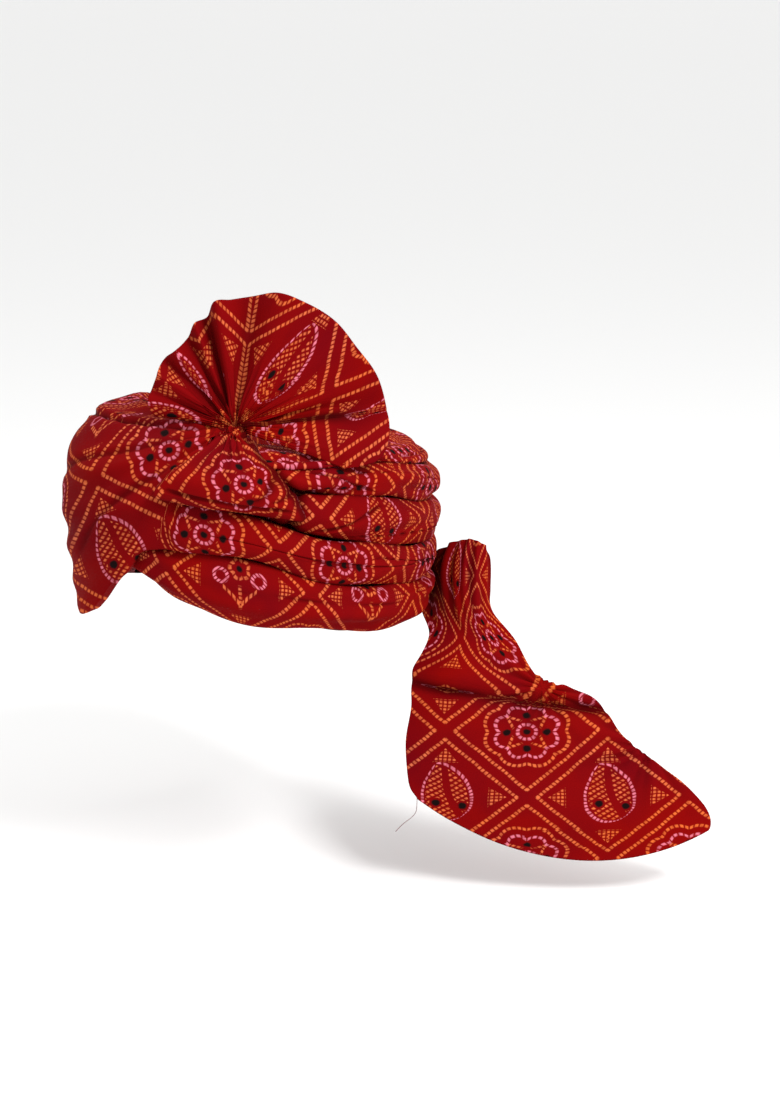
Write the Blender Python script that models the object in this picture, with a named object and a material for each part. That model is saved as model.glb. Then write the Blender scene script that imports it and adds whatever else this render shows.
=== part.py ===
"""A tied turban (pagri): cloth wound round a head, with a wing, a puff, a pleated fan and a tail.

Everything is in metres. The origin is the middle of the head opening, level with the rim over
the left ear. +Z is up, the wearer looks along -Y, and the wearer's left is +X. A turn is an angle
in degrees round the head: 0 at the forehead, 90 over the left ear and -90 over the right ear.
"""

import math
from typing import NamedTuple

import bmesh
import bpy
from mathutils import Vector

# Head hollow
HEAD_WIDTH = 0.156
HEAD_LENGTH = 0.196
HEAD_HEIGHT = 0.122
BROW_HEIGHT = 0.030

# Wound body
BODY_HEIGHT = 0.138
WRAP_DEPTH = 0.039
CLOTH = 0.0026
GAP = 0.0005
SEAT = 0.0009

# Fan, which rises from the knot and faces the same way as the photograph's viewer
KNOT_TURN = 41.0
KNOT_RISE = 0.0035  # how far the knot stands above the wound body
KNOT_INSET = 0.2  # how far inside the head's straight wall it stands, as a share of WRAP_DEPTH
FAN_RADIUS = 0.0947
FAN_FACING = math.radians(40)
FAN_LEAN = math.radians(15)
FAN_BOW = 0.004
FAN_HEART = 0.07  # share of the fan's radius where its pleats meet
FAN_FORWARD = 0.0012
FAN_RAISED = 0.0020
PLEAT_DEPTH = 0.0075

# Puff, as shares of WRAP_DEPTH and BODY_HEIGHT
PUFF_FOOT_PULL = 0.10
PUFF_FOOT_RISE = 0.08
PUFF_TOP_PULL = 0.95
PUFF_LEAST_BELLY = 0.05

# Tail, which leaves the rolls behind the left ear
TAIL_TURN = 130.0
TAIL_DROP = 0.170
TAIL_REACH = 0.200

# How finely the surfaces are cut
TURN_STEP = 6.0
DOME_STEPS = 6
TAIL_COLUMNS = 12
TAIL_ROWS = 24
FAN_ROWS = 6
PUFF_STEPS = 9


class Levels(NamedTuple):
    """Heights of the creases between the rolls at one turn, as shares of BODY_HEIGHT."""

    turn: float
    rim: float
    first: float
    second: float
    third: float
    fourth: float
    top: float
    fill: float  # share of its depth that an upper roll keeps where other cloth covers it
    rim_fill: float  # the same for the bottom roll


LEVELS = (
    Levels(-180, -0.03, 0.145, 0.333, 0.520, 0.695, 0.870, 1.00, 1.00),
    Levels(-135, 0.02, 0.217, 0.400, 0.580, 0.746, 0.900, 0.90, 1.00),
    Levels(-110, 0.06, 0.270, 0.440, 0.620, 0.775, 0.915, 0.68, 0.78),
    Levels(-90, 0.10, 0.326, 0.490, 0.667, 0.800, 0.930, 0.68, 0.76),
    Levels(-45, 0.20, 0.406, 0.550, 0.696, 0.820, 0.940, 0.66, 0.76),
    Levels(-20, 0.30, 0.470, 0.594, 0.730, 0.840, 0.945, 0.64, 0.78),
    Levels(0, 0.377, 0.507, 0.680, 0.780, 0.860, 0.950, 0.62, 0.82),
    Levels(23, 0.232, 0.514, 0.768, 0.830, 0.890, 0.960, 0.62, 1.00),
    Levels(45, 0.125, 0.464, 0.688, 0.800, 0.890, 0.965, 0.64, 1.00),
    Levels(70, 0.065, 0.326, 0.536, 0.746, 0.865, 0.925, 0.88, 1.00),
    Levels(90, -0.002, 0.240, 0.457, 0.688, 0.850, 0.930, 1.00, 1.00),
    Levels(115, -0.052, 0.188, 0.370, 0.587, 0.768, 0.915, 1.00, 1.00),
    Levels(130, -0.066, 0.174, 0.340, 0.536, 0.717, 0.890, 1.00, 1.00),
    Levels(150, -0.056, 0.152, 0.333, 0.520, 0.695, 0.870, 1.00, 1.00),
)


class BandRow(NamedTuple):
    """One section of the sweeping band, as shares of BODY_HEIGHT (heights) and WRAP_DEPTH (depths)."""

    turn: float
    drop: float  # how far the lower edge hangs below the first crease
    low_depth: float
    climb: float  # how far the upper edge rises above the second crease
    high_depth: float
    low_pull: float  # how far out the lower handle of the section's curve stands
    high_pull: float
    low_rise: float  # how far above the lower edge that handle stands
    high_fall: float  # how far below the upper edge the upper handle stands
    stuffing: float  # 1 where the band is a full roll, 0 where it is a wall of cloth
    gather: float  # how far the upper edge is drawn to the knot


BAND = (
    BandRow(-180, 0.0, 0.78, 0.0, 0.82, 0.26, 0.24, 0.03, 0.03, 1.0, 0.0),
    BandRow(-150, 0.0, 0.78, 0.0, 0.84, 0.26, 0.24, 0.03, 0.03, 1.0, 0.0),
    BandRow(-135, 0.0, 0.84, 0.02, 0.96, 0.26, 0.24, 0.03, 0.03, 0.0, 0.0),
    BandRow(-115, 0.080, 0.90, 0.20, 1.00, 0.22, 0.26, 0.10, 0.10, 0.0, 0.0),
    BandRow(-90, 0.231, 0.88, 0.49, 0.35, 0.18, 1.10, 0.25, 0.02, 0.0, 0.0),
    BandRow(-50, 0.348, 0.86, 0.532, -0.10, 0.12, 1.90, 0.28, 0.00, 0.0, 0.1),
    BandRow(-25, 0.373, 0.90, 0.485, -0.30, 0.16, 1.80, 0.32, 0.00, 0.0, 0.4),
    BandRow(-12, 0.310, 0.93, 0.430, -0.35, 0.18, 1.65, 0.32, 0.00, 0.0, 0.6),
    BandRow(-2, 0.195, 0.93, 0.378, -0.35, 0.18, 1.50, 0.25, 0.00, 0.0, 0.8),
    BandRow(5, 0.128, 0.94, 0.345, -0.30, 0.18, 1.45, 0.16, 0.00, 0.0, 0.9),
    BandRow(10, 0.026, 0.92, 0.320, -0.15, 0.18, 1.30, 0.15, 0.00, 0.0, 1.0),
    BandRow(17, 0.0, 0.90, 0.292, -0.15, 0.20, 1.20, 0.12, 0.00, 0.0, 1.0),
    BandRow(24, 0.0, 0.87, 0.010, 0.92, 0.24, 0.20, 0.06, 0.05, 0.0, 0.1),
    BandRow(32, 0.0, 0.85, 0.0, 0.87, 0.26, 0.22, 0.05, 0.05, 0.4, 0.0),
    BandRow(45, 0.0, 0.84, 0.0, 0.86, 0.26, 0.22, 0.05, 0.05, 1.0, 0.0),
    BandRow(70, 0.0, 0.80, 0.0, 0.86, 0.26, 0.24, 0.04, 0.04, 1.0, 0.0),
    BandRow(115, 0.0, 0.78, 0.0, 0.84, 0.26, 0.24, 0.03, 0.03, 1.0, 0.0),
    BandRow(150, 0.0, 0.78, 0.0, 0.82, 0.26, 0.24, 0.03, 0.03, 1.0, 0.0),
)


class PuffRow(NamedTuple):
    """One rib of the front puff, from its lower edge up to the knot."""

    turn: float
    low: float  # share of BODY_HEIGHT
    low_depth: float  # share of WRAP_DEPTH
    belly: float  # share of WRAP_DEPTH


PUFF = (
    PuffRow(19, 0.790, 1.14, 0.10),
    PuffRow(28, 0.755, 1.06, 0.36),
    PuffRow(38, 0.725, 0.98, 0.50),
    PuffRow(50, 0.692, 0.97, 0.42),
    PuffRow(61, 0.650, 1.00, 0.12),
)


class FanRib(NamedTuple):
    """One radial fold line of the fan."""

    angle: float  # degrees up from the viewer's right
    reach: float  # share of FAN_RADIUS
    fold: float  # share of PLEAT_DEPTH toward the viewer


FAN = (
    FanRib(-20, 0.80, 0.9),
    FanRib(-13, 1.00, 1.3),
    FanRib(-4, 1.06, 0.9),
    FanRib(8, 1.05, -0.8),
    FanRib(20, 1.04, 0.3),
    FanRib(33, 1.00, 0.8),
    FanRib(46, 1.00, 1.0),
    FanRib(60, 0.98, 0.7),
    FanRib(72, 0.97, 0.1),
    FanRib(82, 0.92, -1.0),
    FanRib(91, 0.87, 0.6),
    FanRib(99, 0.86, 1.1),
    FanRib(104, 0.79, -0.7),
    FanRib(111, 0.76, 0.5),
    FanRib(118, 0.70, -0.6),
    FanRib(127, 0.66, 0.5),
    FanRib(136, 0.68, -0.4),
    FanRib(146, 0.64, 0.5),
    FanRib(155, 0.63, -0.2),
    FanRib(163, 0.62, 0.1),
    FanRib(171, 0.56, -0.3),
)


class TailRow(NamedTuple):
    """One row across the tail. Each point is (out, height, ahead).

    Out is past the rolls' outer face, as a share of TAIL_REACH. Height is a share of TAIL_DROP,
    and ahead, toward the viewer, is a share of TAIL_REACH.
    """

    left: tuple[float, float, float]
    middle: tuple[float, float, float]
    right: tuple[float, float, float]


TAIL = (
    TailRow((-0.026, 0.120, -0.262), (0.090, 0.258, -0.075), (0.172, 0.240, -0.095)),
    TailRow((-0.030, 0.066, -0.262), (0.075, 0.165, -0.050), (0.190, 0.170, -0.075)),
    TailRow((-0.034, 0.012, -0.262), (0.070, 0.052, -0.038), (0.193, 0.052, -0.060)),
    TailRow((-0.052, -0.076, -0.190), (0.080, -0.054, -0.020), (0.200, -0.042, -0.045)),
    TailRow((-0.028, -0.150, -0.040), (0.120, -0.160, 0.020), (0.273, -0.154, -0.010)),
    TailRow((-0.088, -0.286, 0.035), (0.135, -0.305, 0.080), (0.360, -0.302, 0.045)),
    TailRow((-0.092, -0.414, 0.085), (0.195, -0.440, 0.130), (0.546, -0.376, 0.080)),
    TailRow((-0.112, -0.549, 0.135), (0.275, -0.590, 0.180), (0.666, -0.537, 0.130)),
    TailRow((-0.102, -0.693, 0.180), (0.350, -0.770, 0.225), (0.870, -0.715, 0.180)),
    TailRow((-0.072, -0.758, 0.205), (0.440, -1.000, 0.250), (1.000, -0.885, 0.215)),
)


def clear_scene():
    """Removes every object that the scene holds."""
    for obj in list(bpy.data.objects):
        bpy.data.objects.remove(obj, do_unlink=True)


def hermite(before, start, end, after, share):
    """A smooth value between start and end. Each argument but the last is a (place, value) pair."""
    span = end[0] - start[0]
    leaving = span * (end[1] - before[1]) / (end[0] - before[0])
    arriving = span * (after[1] - start[1]) / (after[0] - start[0])
    square, cube = share * share, share * share * share
    return (
        (2 * cube - 3 * square + 1) * start[1]
        + (cube - 2 * square + share) * leaving
        + (3 * square - 2 * cube) * end[1]
        + (cube - square) * arriving
    )


def around(table, turn):
    """The row of a table that closes round the head, at any turn, on smooth curves through its rows."""
    count = len(table)
    turn = (turn + 180) % 360 - 180
    index = max(i for i in range(count) if table[i].turn <= turn)
    rows = [table[(index + step) % count] for step in (-1, 0, 1, 2)]
    places = [row.turn + 360 * ((index + step) // count) for row, step in zip(rows, (-1, 0, 1, 2))]
    share = (turn - places[1]) / (places[2] - places[1])
    values = [
        hermite(*((place, row[column]) for place, row in zip(places, rows)), share)
        for column in range(1, len(rows[0]))
    ]
    return type(rows[0])(turn, *values)


def along(points, place):
    """A point on the smooth curve through these vectors, where place 0 is the first and 1 the last."""
    last = len(points) - 1
    index = min(int(place * last), last - 1)
    picks = [min(max(index + step, 0), last) for step in (-1, 0, 1, 2)]
    before, start, end, after = (points[pick] for pick in picks)
    leaving = (end - before) / (picks[2] - picks[0])
    arriving = (after - start) / (picks[3] - picks[1])
    share = place * last - index
    square, cube = share * share, share * share * share
    return (
        start * (2 * cube - 3 * square + 1)
        + leaving * (cube - 2 * square + share)
        + end * (3 * square - 2 * cube)
        + arriving * (cube - square)
    )


def bezier(start, first, second, end, share):
    """A point of the cubic curve with these four handles."""
    rest = 1 - share
    return (
        start * rest**3
        + first * 3 * rest**2 * share
        + second * 3 * rest * share**2
        + end * share**3
    )


def at(turn, depth, height):
    """The point this far outside the head's straight wall."""
    angle = math.radians(turn)
    across = (HEAD_WIDTH / 2 + depth) * math.sin(angle)
    back = -(HEAD_LENGTH / 2 + depth) * math.cos(angle)
    return Vector((across, back, height))


def dome_depth(height, offset):
    """How far outside the head's straight wall the dome, grown by offset, stands at this height."""
    if height <= BROW_HEIGHT:
        return offset
    climb = min((height - BROW_HEIGHT) / (HEAD_HEIGHT - BROW_HEIGHT + offset), 1)
    shrink = math.sqrt(1 - climb * climb)
    return (HEAD_WIDTH / 2 + offset) * shrink - HEAD_WIDTH / 2


def turns(step):
    """The turns of a full circle, evenly spaced."""
    count = round(360 / step)
    return [-180 + 360 * index / count for index in range(count)]


def shares(count):
    """Evenly spaced shares from 0 to 1."""
    return [index / (count - 1) for index in range(count)]


def material(name, colour, roughness):
    """A plain cloth finish."""
    finish = bpy.data.materials.new(name)
    finish.use_nodes = True
    shader = finish.node_tree.nodes["Principled BSDF"]
    shader.inputs["Base Color"].default_value = (*colour, 1)
    shader.inputs["Roughness"].default_value = roughness
    shader.inputs["Metallic"].default_value = 0
    return finish


def add_piece(name, mesh, finish):
    """Puts the finished mesh in the scene as one named piece with smooth faces outward."""
    bmesh.ops.recalc_face_normals(mesh, faces=mesh.faces)
    data = bpy.data.meshes.new(name)
    mesh.to_mesh(data)
    mesh.free()
    data.shade_smooth()
    data.materials.append(finish)
    piece = bpy.data.objects.new(name, data)
    bpy.context.scene.collection.objects.link(piece)
    return piece


def bridge(mesh, loops, closed):
    """Joins each closed loop of points to the next with quads, and returns the loops' vertices."""
    rings = [[mesh.verts.new(point) for point in loop] for loop in loops]
    following = rings[1:] + rings[:1] if closed else rings[1:]
    for ring, after in zip(rings, following):
        count = len(ring)
        for index in range(count):
            step = (index + 1) % count
            mesh.faces.new((ring[index], ring[step], after[step], after[index]))
    return rings


def ring_solid(name, loops, finish):
    """A solid of sections that close round the head."""
    mesh = bmesh.new()
    bridge(mesh, loops, closed=True)
    return add_piece(name, mesh, finish)


def seamed_solid(name, loops, finish):
    """A solid of open sections, whose two ends are zipped shut across their width."""
    mesh = bmesh.new()
    rings = bridge(mesh, loops, closed=False)
    for ring in (rings[0], rings[-1]):
        half = len(ring) // 2
        for index in range(half - 1):
            mesh.faces.new((ring[index], ring[index + 1], ring[-2 - index], ring[-1 - index]))
    return add_piece(name, mesh, finish)


def walled_sheet(name, rows, wall, finish):
    """A solid sheet of even thickness round a grid of middle points."""
    last_row, last_column = len(rows) - 1, len(rows[0]) - 1

    def normal(row, column):
        down = rows[min(row + 1, last_row)][column] - rows[max(row - 1, 0)][column]
        over = rows[row][min(column + 1, last_column)] - rows[row][max(column - 1, 0)]
        return over.cross(down).normalized()

    loops = []
    for row, points in enumerate(rows):
        shifts = [normal(row, column) * wall / 2 for column in range(len(points))]
        front = [point + shift for point, shift in zip(points, shifts)]
        back = [point - shift for point, shift in zip(points, shifts)]
        loops.append(front + back[::-1])
    return seamed_solid(name, loops, finish)


def build_base_wrap(finish):
    """The first turns of cloth: a dome that fits the head, open below."""

    def ring(offset, step):
        top = HEAD_HEIGHT + offset
        rise = math.sin(math.radians(90 * max(step, 0) / DOME_STEPS))
        points = []
        for turn in turns(TURN_STEP):
            edge = BODY_HEIGHT * around(LEVELS, turn).rim + CLOTH
            level = BROW_HEIGHT + (top - BROW_HEIGHT) * rise
            height = edge if step < 0 else max(level, edge + CLOTH * (step + 1))
            points.append(at(turn, dome_depth(height, offset), height))
        return points

    inner = [ring(0, step) for step in range(DOME_STEPS - 1, -2, -1)]
    outer = [ring(CLOTH, step) for step in range(-1, DOME_STEPS)]
    mesh = bmesh.new()
    rings = bridge(mesh, inner + outer, closed=False)
    for end, height in ((rings[0], HEAD_HEIGHT), (rings[-1], HEAD_HEIGHT + CLOTH)):
        pole = mesh.verts.new((0, 0, height))
        for index, vertex in enumerate(end):
            mesh.faces.new((vertex, end[(index + 1) % len(end)], pole))
    return add_piece("base_wrap", mesh, finish)


class RollShape(NamedTuple):
    """Depths of one roll's section, as shares of WRAP_DEPTH."""

    name: str
    low: str  # the Levels column of its lower crease
    high: str
    low_depth: float
    high_depth: float
    low_pull: float
    high_pull: float
    inner_top: float  # how much of the roll's height its inner face takes
    fill: str  # the Levels column of the share that it keeps where other cloth covers it


ROLLS = (
    RollShape("bottom_roll", "rim", "first", 0.50, 0.76, 0.50, 0.26, 0.94, "rim_fill"),
    RollShape("third_roll", "second", "third", 0.84, 0.88, 0.24, 0.24, 0.94, "fill"),
    RollShape("fourth_roll", "third", "fourth", 0.88, 0.80, 0.22, 0.26, 0.94, "fill"),
    RollShape("crown_roll", "fourth", "top", 0.78, -0.35, 0.16, 0.90, 0.3, "fill"),
)

OUTER_STEPS = 7
INNER_STEPS = 4
INSET = 0.06  # how far a roll's inner face stays inside its creases, as a share of its height
ROUNDING = 0.2  # how far the section's handles stand from its creases, as a share of its height


def build_roll(shape, finish):
    """One roll of wound cloth, from the base wrap out to its rounded face."""
    loops = []
    for turn in turns(TURN_STEP):
        levels = around(LEVELS, turn)
        fill = WRAP_DEPTH * getattr(levels, shape.fill)
        low = BODY_HEIGHT * getattr(levels, shape.low) + GAP / 2
        high = BODY_HEIGHT * getattr(levels, shape.high) - GAP / 2
        rise = (high - low) * ROUNDING
        outer = []
        for share in shares(OUTER_STEPS):
            handles = (
                at(turn, fill * shape.low_depth, low),
                at(turn, fill * (shape.low_depth + shape.low_pull), low + rise),
                at(turn, fill * (shape.high_depth + shape.high_pull), high - rise),
                at(turn, fill * shape.high_depth, high),
            )
            outer.append(bezier(*handles, share))
        inner = []
        for share in shares(INNER_STEPS):
            height = low + (high - low) * (INSET + (shape.inner_top - INSET) * (1 - share))
            inner.append(at(turn, dome_depth(height, CLOTH + SEAT), height))
        loops.append(outer + inner)
    return ring_solid(shape.name, loops, finish)


BAND_COLUMNS = 9


def band_section(turn):
    """The band's section at one turn: its outer curve, then its inner one back down."""
    row, levels = around(BAND, turn), around(LEVELS, turn)
    gather = min(max(row.gather, 0), 1)
    stuffing = min(max(row.stuffing, 0), 1)
    low = BODY_HEIGHT * (levels.first - row.drop) + GAP / 2
    high = BODY_HEIGHT * (levels.second + row.climb) - GAP / 2
    low_depth, high_depth = WRAP_DEPTH * row.low_depth, WRAP_DEPTH * row.high_depth
    first_depth = low_depth + WRAP_DEPTH * row.low_pull
    second_depth = high_depth + WRAP_DEPTH * row.high_pull
    second_turn = turn + (KNOT_TURN - turn) * gather / 2
    start = at(turn, low_depth, low)
    first = at(turn, first_depth, low + BODY_HEIGHT * row.low_rise)
    second = at(second_turn, second_depth, high - BODY_HEIGHT * row.high_fall)
    end = at(turn, high_depth, high).lerp(knot_point(), gather)
    outer = [bezier(start, first, second, end, share) for share in shares(BAND_COLUMNS)]
    inner = []
    for index, point in enumerate(outer):
        ahead = outer[min(index + 1, BAND_COLUMNS - 1)] - outer[max(index - 1, 0)]
        side = at(turn + 90, 0, 0)
        wall = point + ahead.cross(side).normalized() * CLOTH
        height = low + (high - low) * (INSET + (1 - 2 * INSET) * index / (BAND_COLUMNS - 1))
        core = at(turn, dome_depth(height, CLOTH + SEAT), height)
        inner.append(wall.lerp(core, stuffing))
    return outer + inner[::-1]


def build_band(finish):
    """The sweeping band: a roll round the left and back that spreads into the wing on the right."""
    loops = [band_section(turn) for turn in turns(TURN_STEP)]
    return ring_solid("sweeping_band", loops, finish)


def knot_point():
    """Where the fan's pleats and the puff's ribs gather."""
    return at(KNOT_TURN, -WRAP_DEPTH * KNOT_INSET, BODY_HEIGHT + KNOT_RISE)


def build_puff(finish):
    """The padded bulge under the knot."""
    knot = knot_point() + Vector((0, 0, GAP))
    right = Vector((math.cos(FAN_FACING), math.sin(FAN_FACING), 0))
    outward = Vector((math.sin(FAN_FACING), -math.cos(FAN_FACING), 0))
    loops = []
    first_turn, last_turn = PUFF[0].turn, PUFF[-1].turn
    vectors = [Vector(row[1:]) for row in PUFF]
    for place in shares(PUFF_STEPS):
        turn = first_turn + (last_turn - first_turn) * place
        low_share, depth_share, belly_share = along(vectors, place)
        belly = WRAP_DEPTH * max(belly_share, PUFF_LEAST_BELLY)
        low_depth, low = WRAP_DEPTH * depth_share, BODY_HEIGHT * low_share
        end = knot + right * (2 * place - 1) * CLOTH
        curves = []
        for pull in (belly + CLOTH, 0):
            start = at(turn, low_depth + (CLOTH if pull else 0), low)
            foot_depth = low_depth + WRAP_DEPTH * PUFF_FOOT_PULL + pull
            first = at(turn, foot_depth, low + BODY_HEIGHT * PUFF_FOOT_RISE)
            top = end + Vector((0, 0, CLOTH if pull else 0))
            second = top + outward * (WRAP_DEPTH * PUFF_TOP_PULL + pull)
            curves.append([bezier(start, first, second, top, share) for share in shares(PUFF_STEPS)])
        loops.append(curves[0] + curves[1][::-1])
    return seamed_solid("front_puff", loops, finish)


def fan_point(rib, reach):
    """A point of the fan's middle surface, at a share of the way from the knot to the rib's end."""
    right = Vector((math.cos(FAN_FACING), math.sin(FAN_FACING), 0))
    level = Vector((math.sin(FAN_FACING), -math.cos(FAN_FACING), 0))
    toward = level * math.cos(FAN_LEAN) + Vector((0, 0, math.sin(FAN_LEAN)))
    rise = Vector((0, 0, math.cos(FAN_LEAN))) - level * math.sin(FAN_LEAN)
    angle = math.radians(rib.angle)
    radius = FAN_RADIUS * rib.reach * reach
    sideways, upward = radius * math.cos(angle), radius * math.sin(angle)
    bow = FAN_BOW * (sideways / FAN_RADIUS) ** 2
    shift = PLEAT_DEPTH * rib.fold * reach - bow
    root = knot_point() + toward * FAN_FORWARD + rise * FAN_RAISED
    return root + right * sideways + rise * upward + toward * shift


def build_fan(finish):
    """The pleated fan, a sheet gathered at the knot."""
    rows = []
    for step in range(FAN_ROWS + 1):
        reach = FAN_HEART + (1 - FAN_HEART) * step / FAN_ROWS
        rows.append([fan_point(rib, reach) for rib in FAN])
    return walled_sheet("pleated_fan", rows, CLOTH, finish)


def tail_point(share):
    """Turns one (out, height, ahead) triple of the tail's table into a point."""
    out, height, ahead = share
    angle = math.radians(TAIL_TURN)
    outward = Vector((math.sin(angle), -math.cos(angle), 0))
    viewer = Vector((-outward.y, outward.x, 0)) * -1
    width, length = HEAD_WIDTH / 2 + WRAP_DEPTH, HEAD_LENGTH / 2 + WRAP_DEPTH
    face = math.hypot(width * math.sin(angle), length * math.cos(angle))
    level = outward * (face + TAIL_REACH * out) + viewer * TAIL_REACH * ahead
    return level + Vector((0, 0, TAIL_DROP * height))


def build_tail(finish):
    """The free end of the cloth, folded where it leaves the rolls and spread below."""
    edges = [[tail_point(share) for share in row] for row in TAIL]
    rows = []
    for place in shares(TAIL_ROWS):
        left, middle, right = (along([row[side] for row in edges], place) for side in range(3))
        points = []
        for share in shares(TAIL_COLUMNS):
            points.append(
                left * 2 * (share - 0.5) * (share - 1)
                - middle * 4 * share * (share - 1)
                + right * 2 * share * (share - 0.5)
            )
        rows.append(points)
    return walled_sheet("tail", rows, CLOTH, finish)


def main():
    """Builds every piece of the turban."""
    clear_scene()
    red = (0.42, 0.012, 0.022)
    build_base_wrap(material("base cloth", (0.30, 0.008, 0.018), 0.85))
    for shape in ROLLS:
        build_roll(shape, material(shape.name + " cloth", red, 0.8))
    build_band(material("band cloth", red, 0.8))
    build_puff(material("puff cloth", red, 0.8))
    build_fan(material("fan cloth", red, 0.78))
    build_tail(material("tail cloth", red, 0.78))


main()
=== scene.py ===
"""The looks of a tied turban: wound rolls, a wing, a puff, a pleated fan and a tail of tie-dyed red cotton.

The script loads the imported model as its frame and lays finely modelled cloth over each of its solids.
Lengths are in metres. A turn is an angle in degrees round the head: 0 at the forehead, 90 over the
left ear. Cloth coordinates, in metres on the flat cloth, drive the dyed pattern.
"""

import logging
import math
from collections.abc import Callable, Sequence
from dataclasses import dataclass, field
from enum import Enum

import bmesh
import bpy
import numpy as np
from mathutils import Matrix, Vector

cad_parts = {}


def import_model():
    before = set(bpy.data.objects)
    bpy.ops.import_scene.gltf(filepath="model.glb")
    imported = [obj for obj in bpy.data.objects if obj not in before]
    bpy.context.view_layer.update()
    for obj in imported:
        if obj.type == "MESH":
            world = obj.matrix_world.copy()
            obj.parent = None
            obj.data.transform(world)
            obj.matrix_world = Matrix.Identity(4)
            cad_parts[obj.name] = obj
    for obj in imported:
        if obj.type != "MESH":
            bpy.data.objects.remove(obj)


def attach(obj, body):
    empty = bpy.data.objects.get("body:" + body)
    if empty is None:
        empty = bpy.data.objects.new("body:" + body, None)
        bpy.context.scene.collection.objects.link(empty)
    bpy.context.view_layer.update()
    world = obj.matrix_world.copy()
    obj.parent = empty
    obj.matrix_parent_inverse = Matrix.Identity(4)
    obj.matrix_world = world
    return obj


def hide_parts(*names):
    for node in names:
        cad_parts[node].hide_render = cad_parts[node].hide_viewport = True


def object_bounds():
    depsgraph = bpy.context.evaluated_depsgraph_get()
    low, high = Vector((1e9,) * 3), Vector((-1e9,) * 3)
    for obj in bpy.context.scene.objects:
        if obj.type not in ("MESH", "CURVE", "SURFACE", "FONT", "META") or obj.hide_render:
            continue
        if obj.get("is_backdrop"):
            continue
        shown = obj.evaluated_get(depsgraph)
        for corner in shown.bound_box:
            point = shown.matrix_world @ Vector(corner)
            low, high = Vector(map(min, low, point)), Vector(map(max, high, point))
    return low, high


LOG = logging.getLogger("turban")

HEAD_WIDTH = 0.156
HEAD_LENGTH = 0.196
HEAD_HEIGHT = 0.122
BROW_HEIGHT = 0.030
BODY_HEIGHT = 0.138
WRAP_DEPTH = 0.039
CLOTH = 0.0026
GAP = 0.0005
KNOT_TURN = 41.0
KNOT_RISE = 0.0035
KNOT_INSET = 0.2
VIEWER_TURN = 40.0
VIEWER_SLOPE = 0.27
FAN_LEAN = 15.0
TAIL_TURN = 130.0
TUCK_SHARES = (1, 0.6, 0.25)

Grid = np.ndarray
BODY = "root"


class Held(Enum):
    """How a sheet of cloth is held."""

    GATHERED = "gathered"
    FOLDED = "folded"
    HUNG = "hung"


@dataclass(frozen=True)
class Levels:
    """Heights of the creases between the rolls at one turn, as shares of BODY_HEIGHT."""

    turn: float
    rim: float
    first: float
    second: float
    third: float
    fourth: float
    top: float
    fill: float
    rim_fill: float


LEVELS = (
    Levels(-180, -0.03, 0.145, 0.333, 0.520, 0.695, 0.870, 1.00, 1.00),
    Levels(-135, 0.02, 0.217, 0.400, 0.580, 0.746, 0.900, 0.90, 1.00),
    Levels(-110, 0.06, 0.270, 0.440, 0.620, 0.775, 0.915, 0.68, 0.78),
    Levels(-90, 0.10, 0.326, 0.490, 0.667, 0.800, 0.930, 0.68, 0.76),
    Levels(-45, 0.20, 0.406, 0.550, 0.696, 0.820, 0.940, 0.66, 0.76),
    Levels(-20, 0.30, 0.470, 0.594, 0.730, 0.840, 0.945, 0.64, 0.78),
    Levels(0, 0.377, 0.507, 0.680, 0.780, 0.860, 0.950, 0.62, 0.82),
    Levels(23, 0.232, 0.514, 0.768, 0.830, 0.890, 0.960, 0.62, 1.00),
    Levels(45, 0.125, 0.464, 0.688, 0.800, 0.890, 0.965, 0.64, 1.00),
    Levels(70, 0.065, 0.326, 0.536, 0.746, 0.865, 0.925, 0.88, 1.00),
    Levels(90, -0.002, 0.240, 0.457, 0.688, 0.850, 0.930, 1.00, 1.00),
    Levels(115, -0.052, 0.188, 0.370, 0.587, 0.768, 0.915, 1.00, 1.00),
    Levels(130, -0.066, 0.174, 0.340, 0.536, 0.717, 0.890, 1.00, 1.00),
    Levels(150, -0.056, 0.152, 0.333, 0.520, 0.695, 0.870, 1.00, 1.00),
)


@dataclass(frozen=True)
class BandRow:
    """One section of the sweeping band, as shares of BODY_HEIGHT (heights) and WRAP_DEPTH (depths)."""

    turn: float
    drop: float
    low_depth: float
    climb: float
    high_depth: float
    low_pull: float
    high_pull: float
    low_rise: float
    high_fall: float
    gather: float


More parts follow.
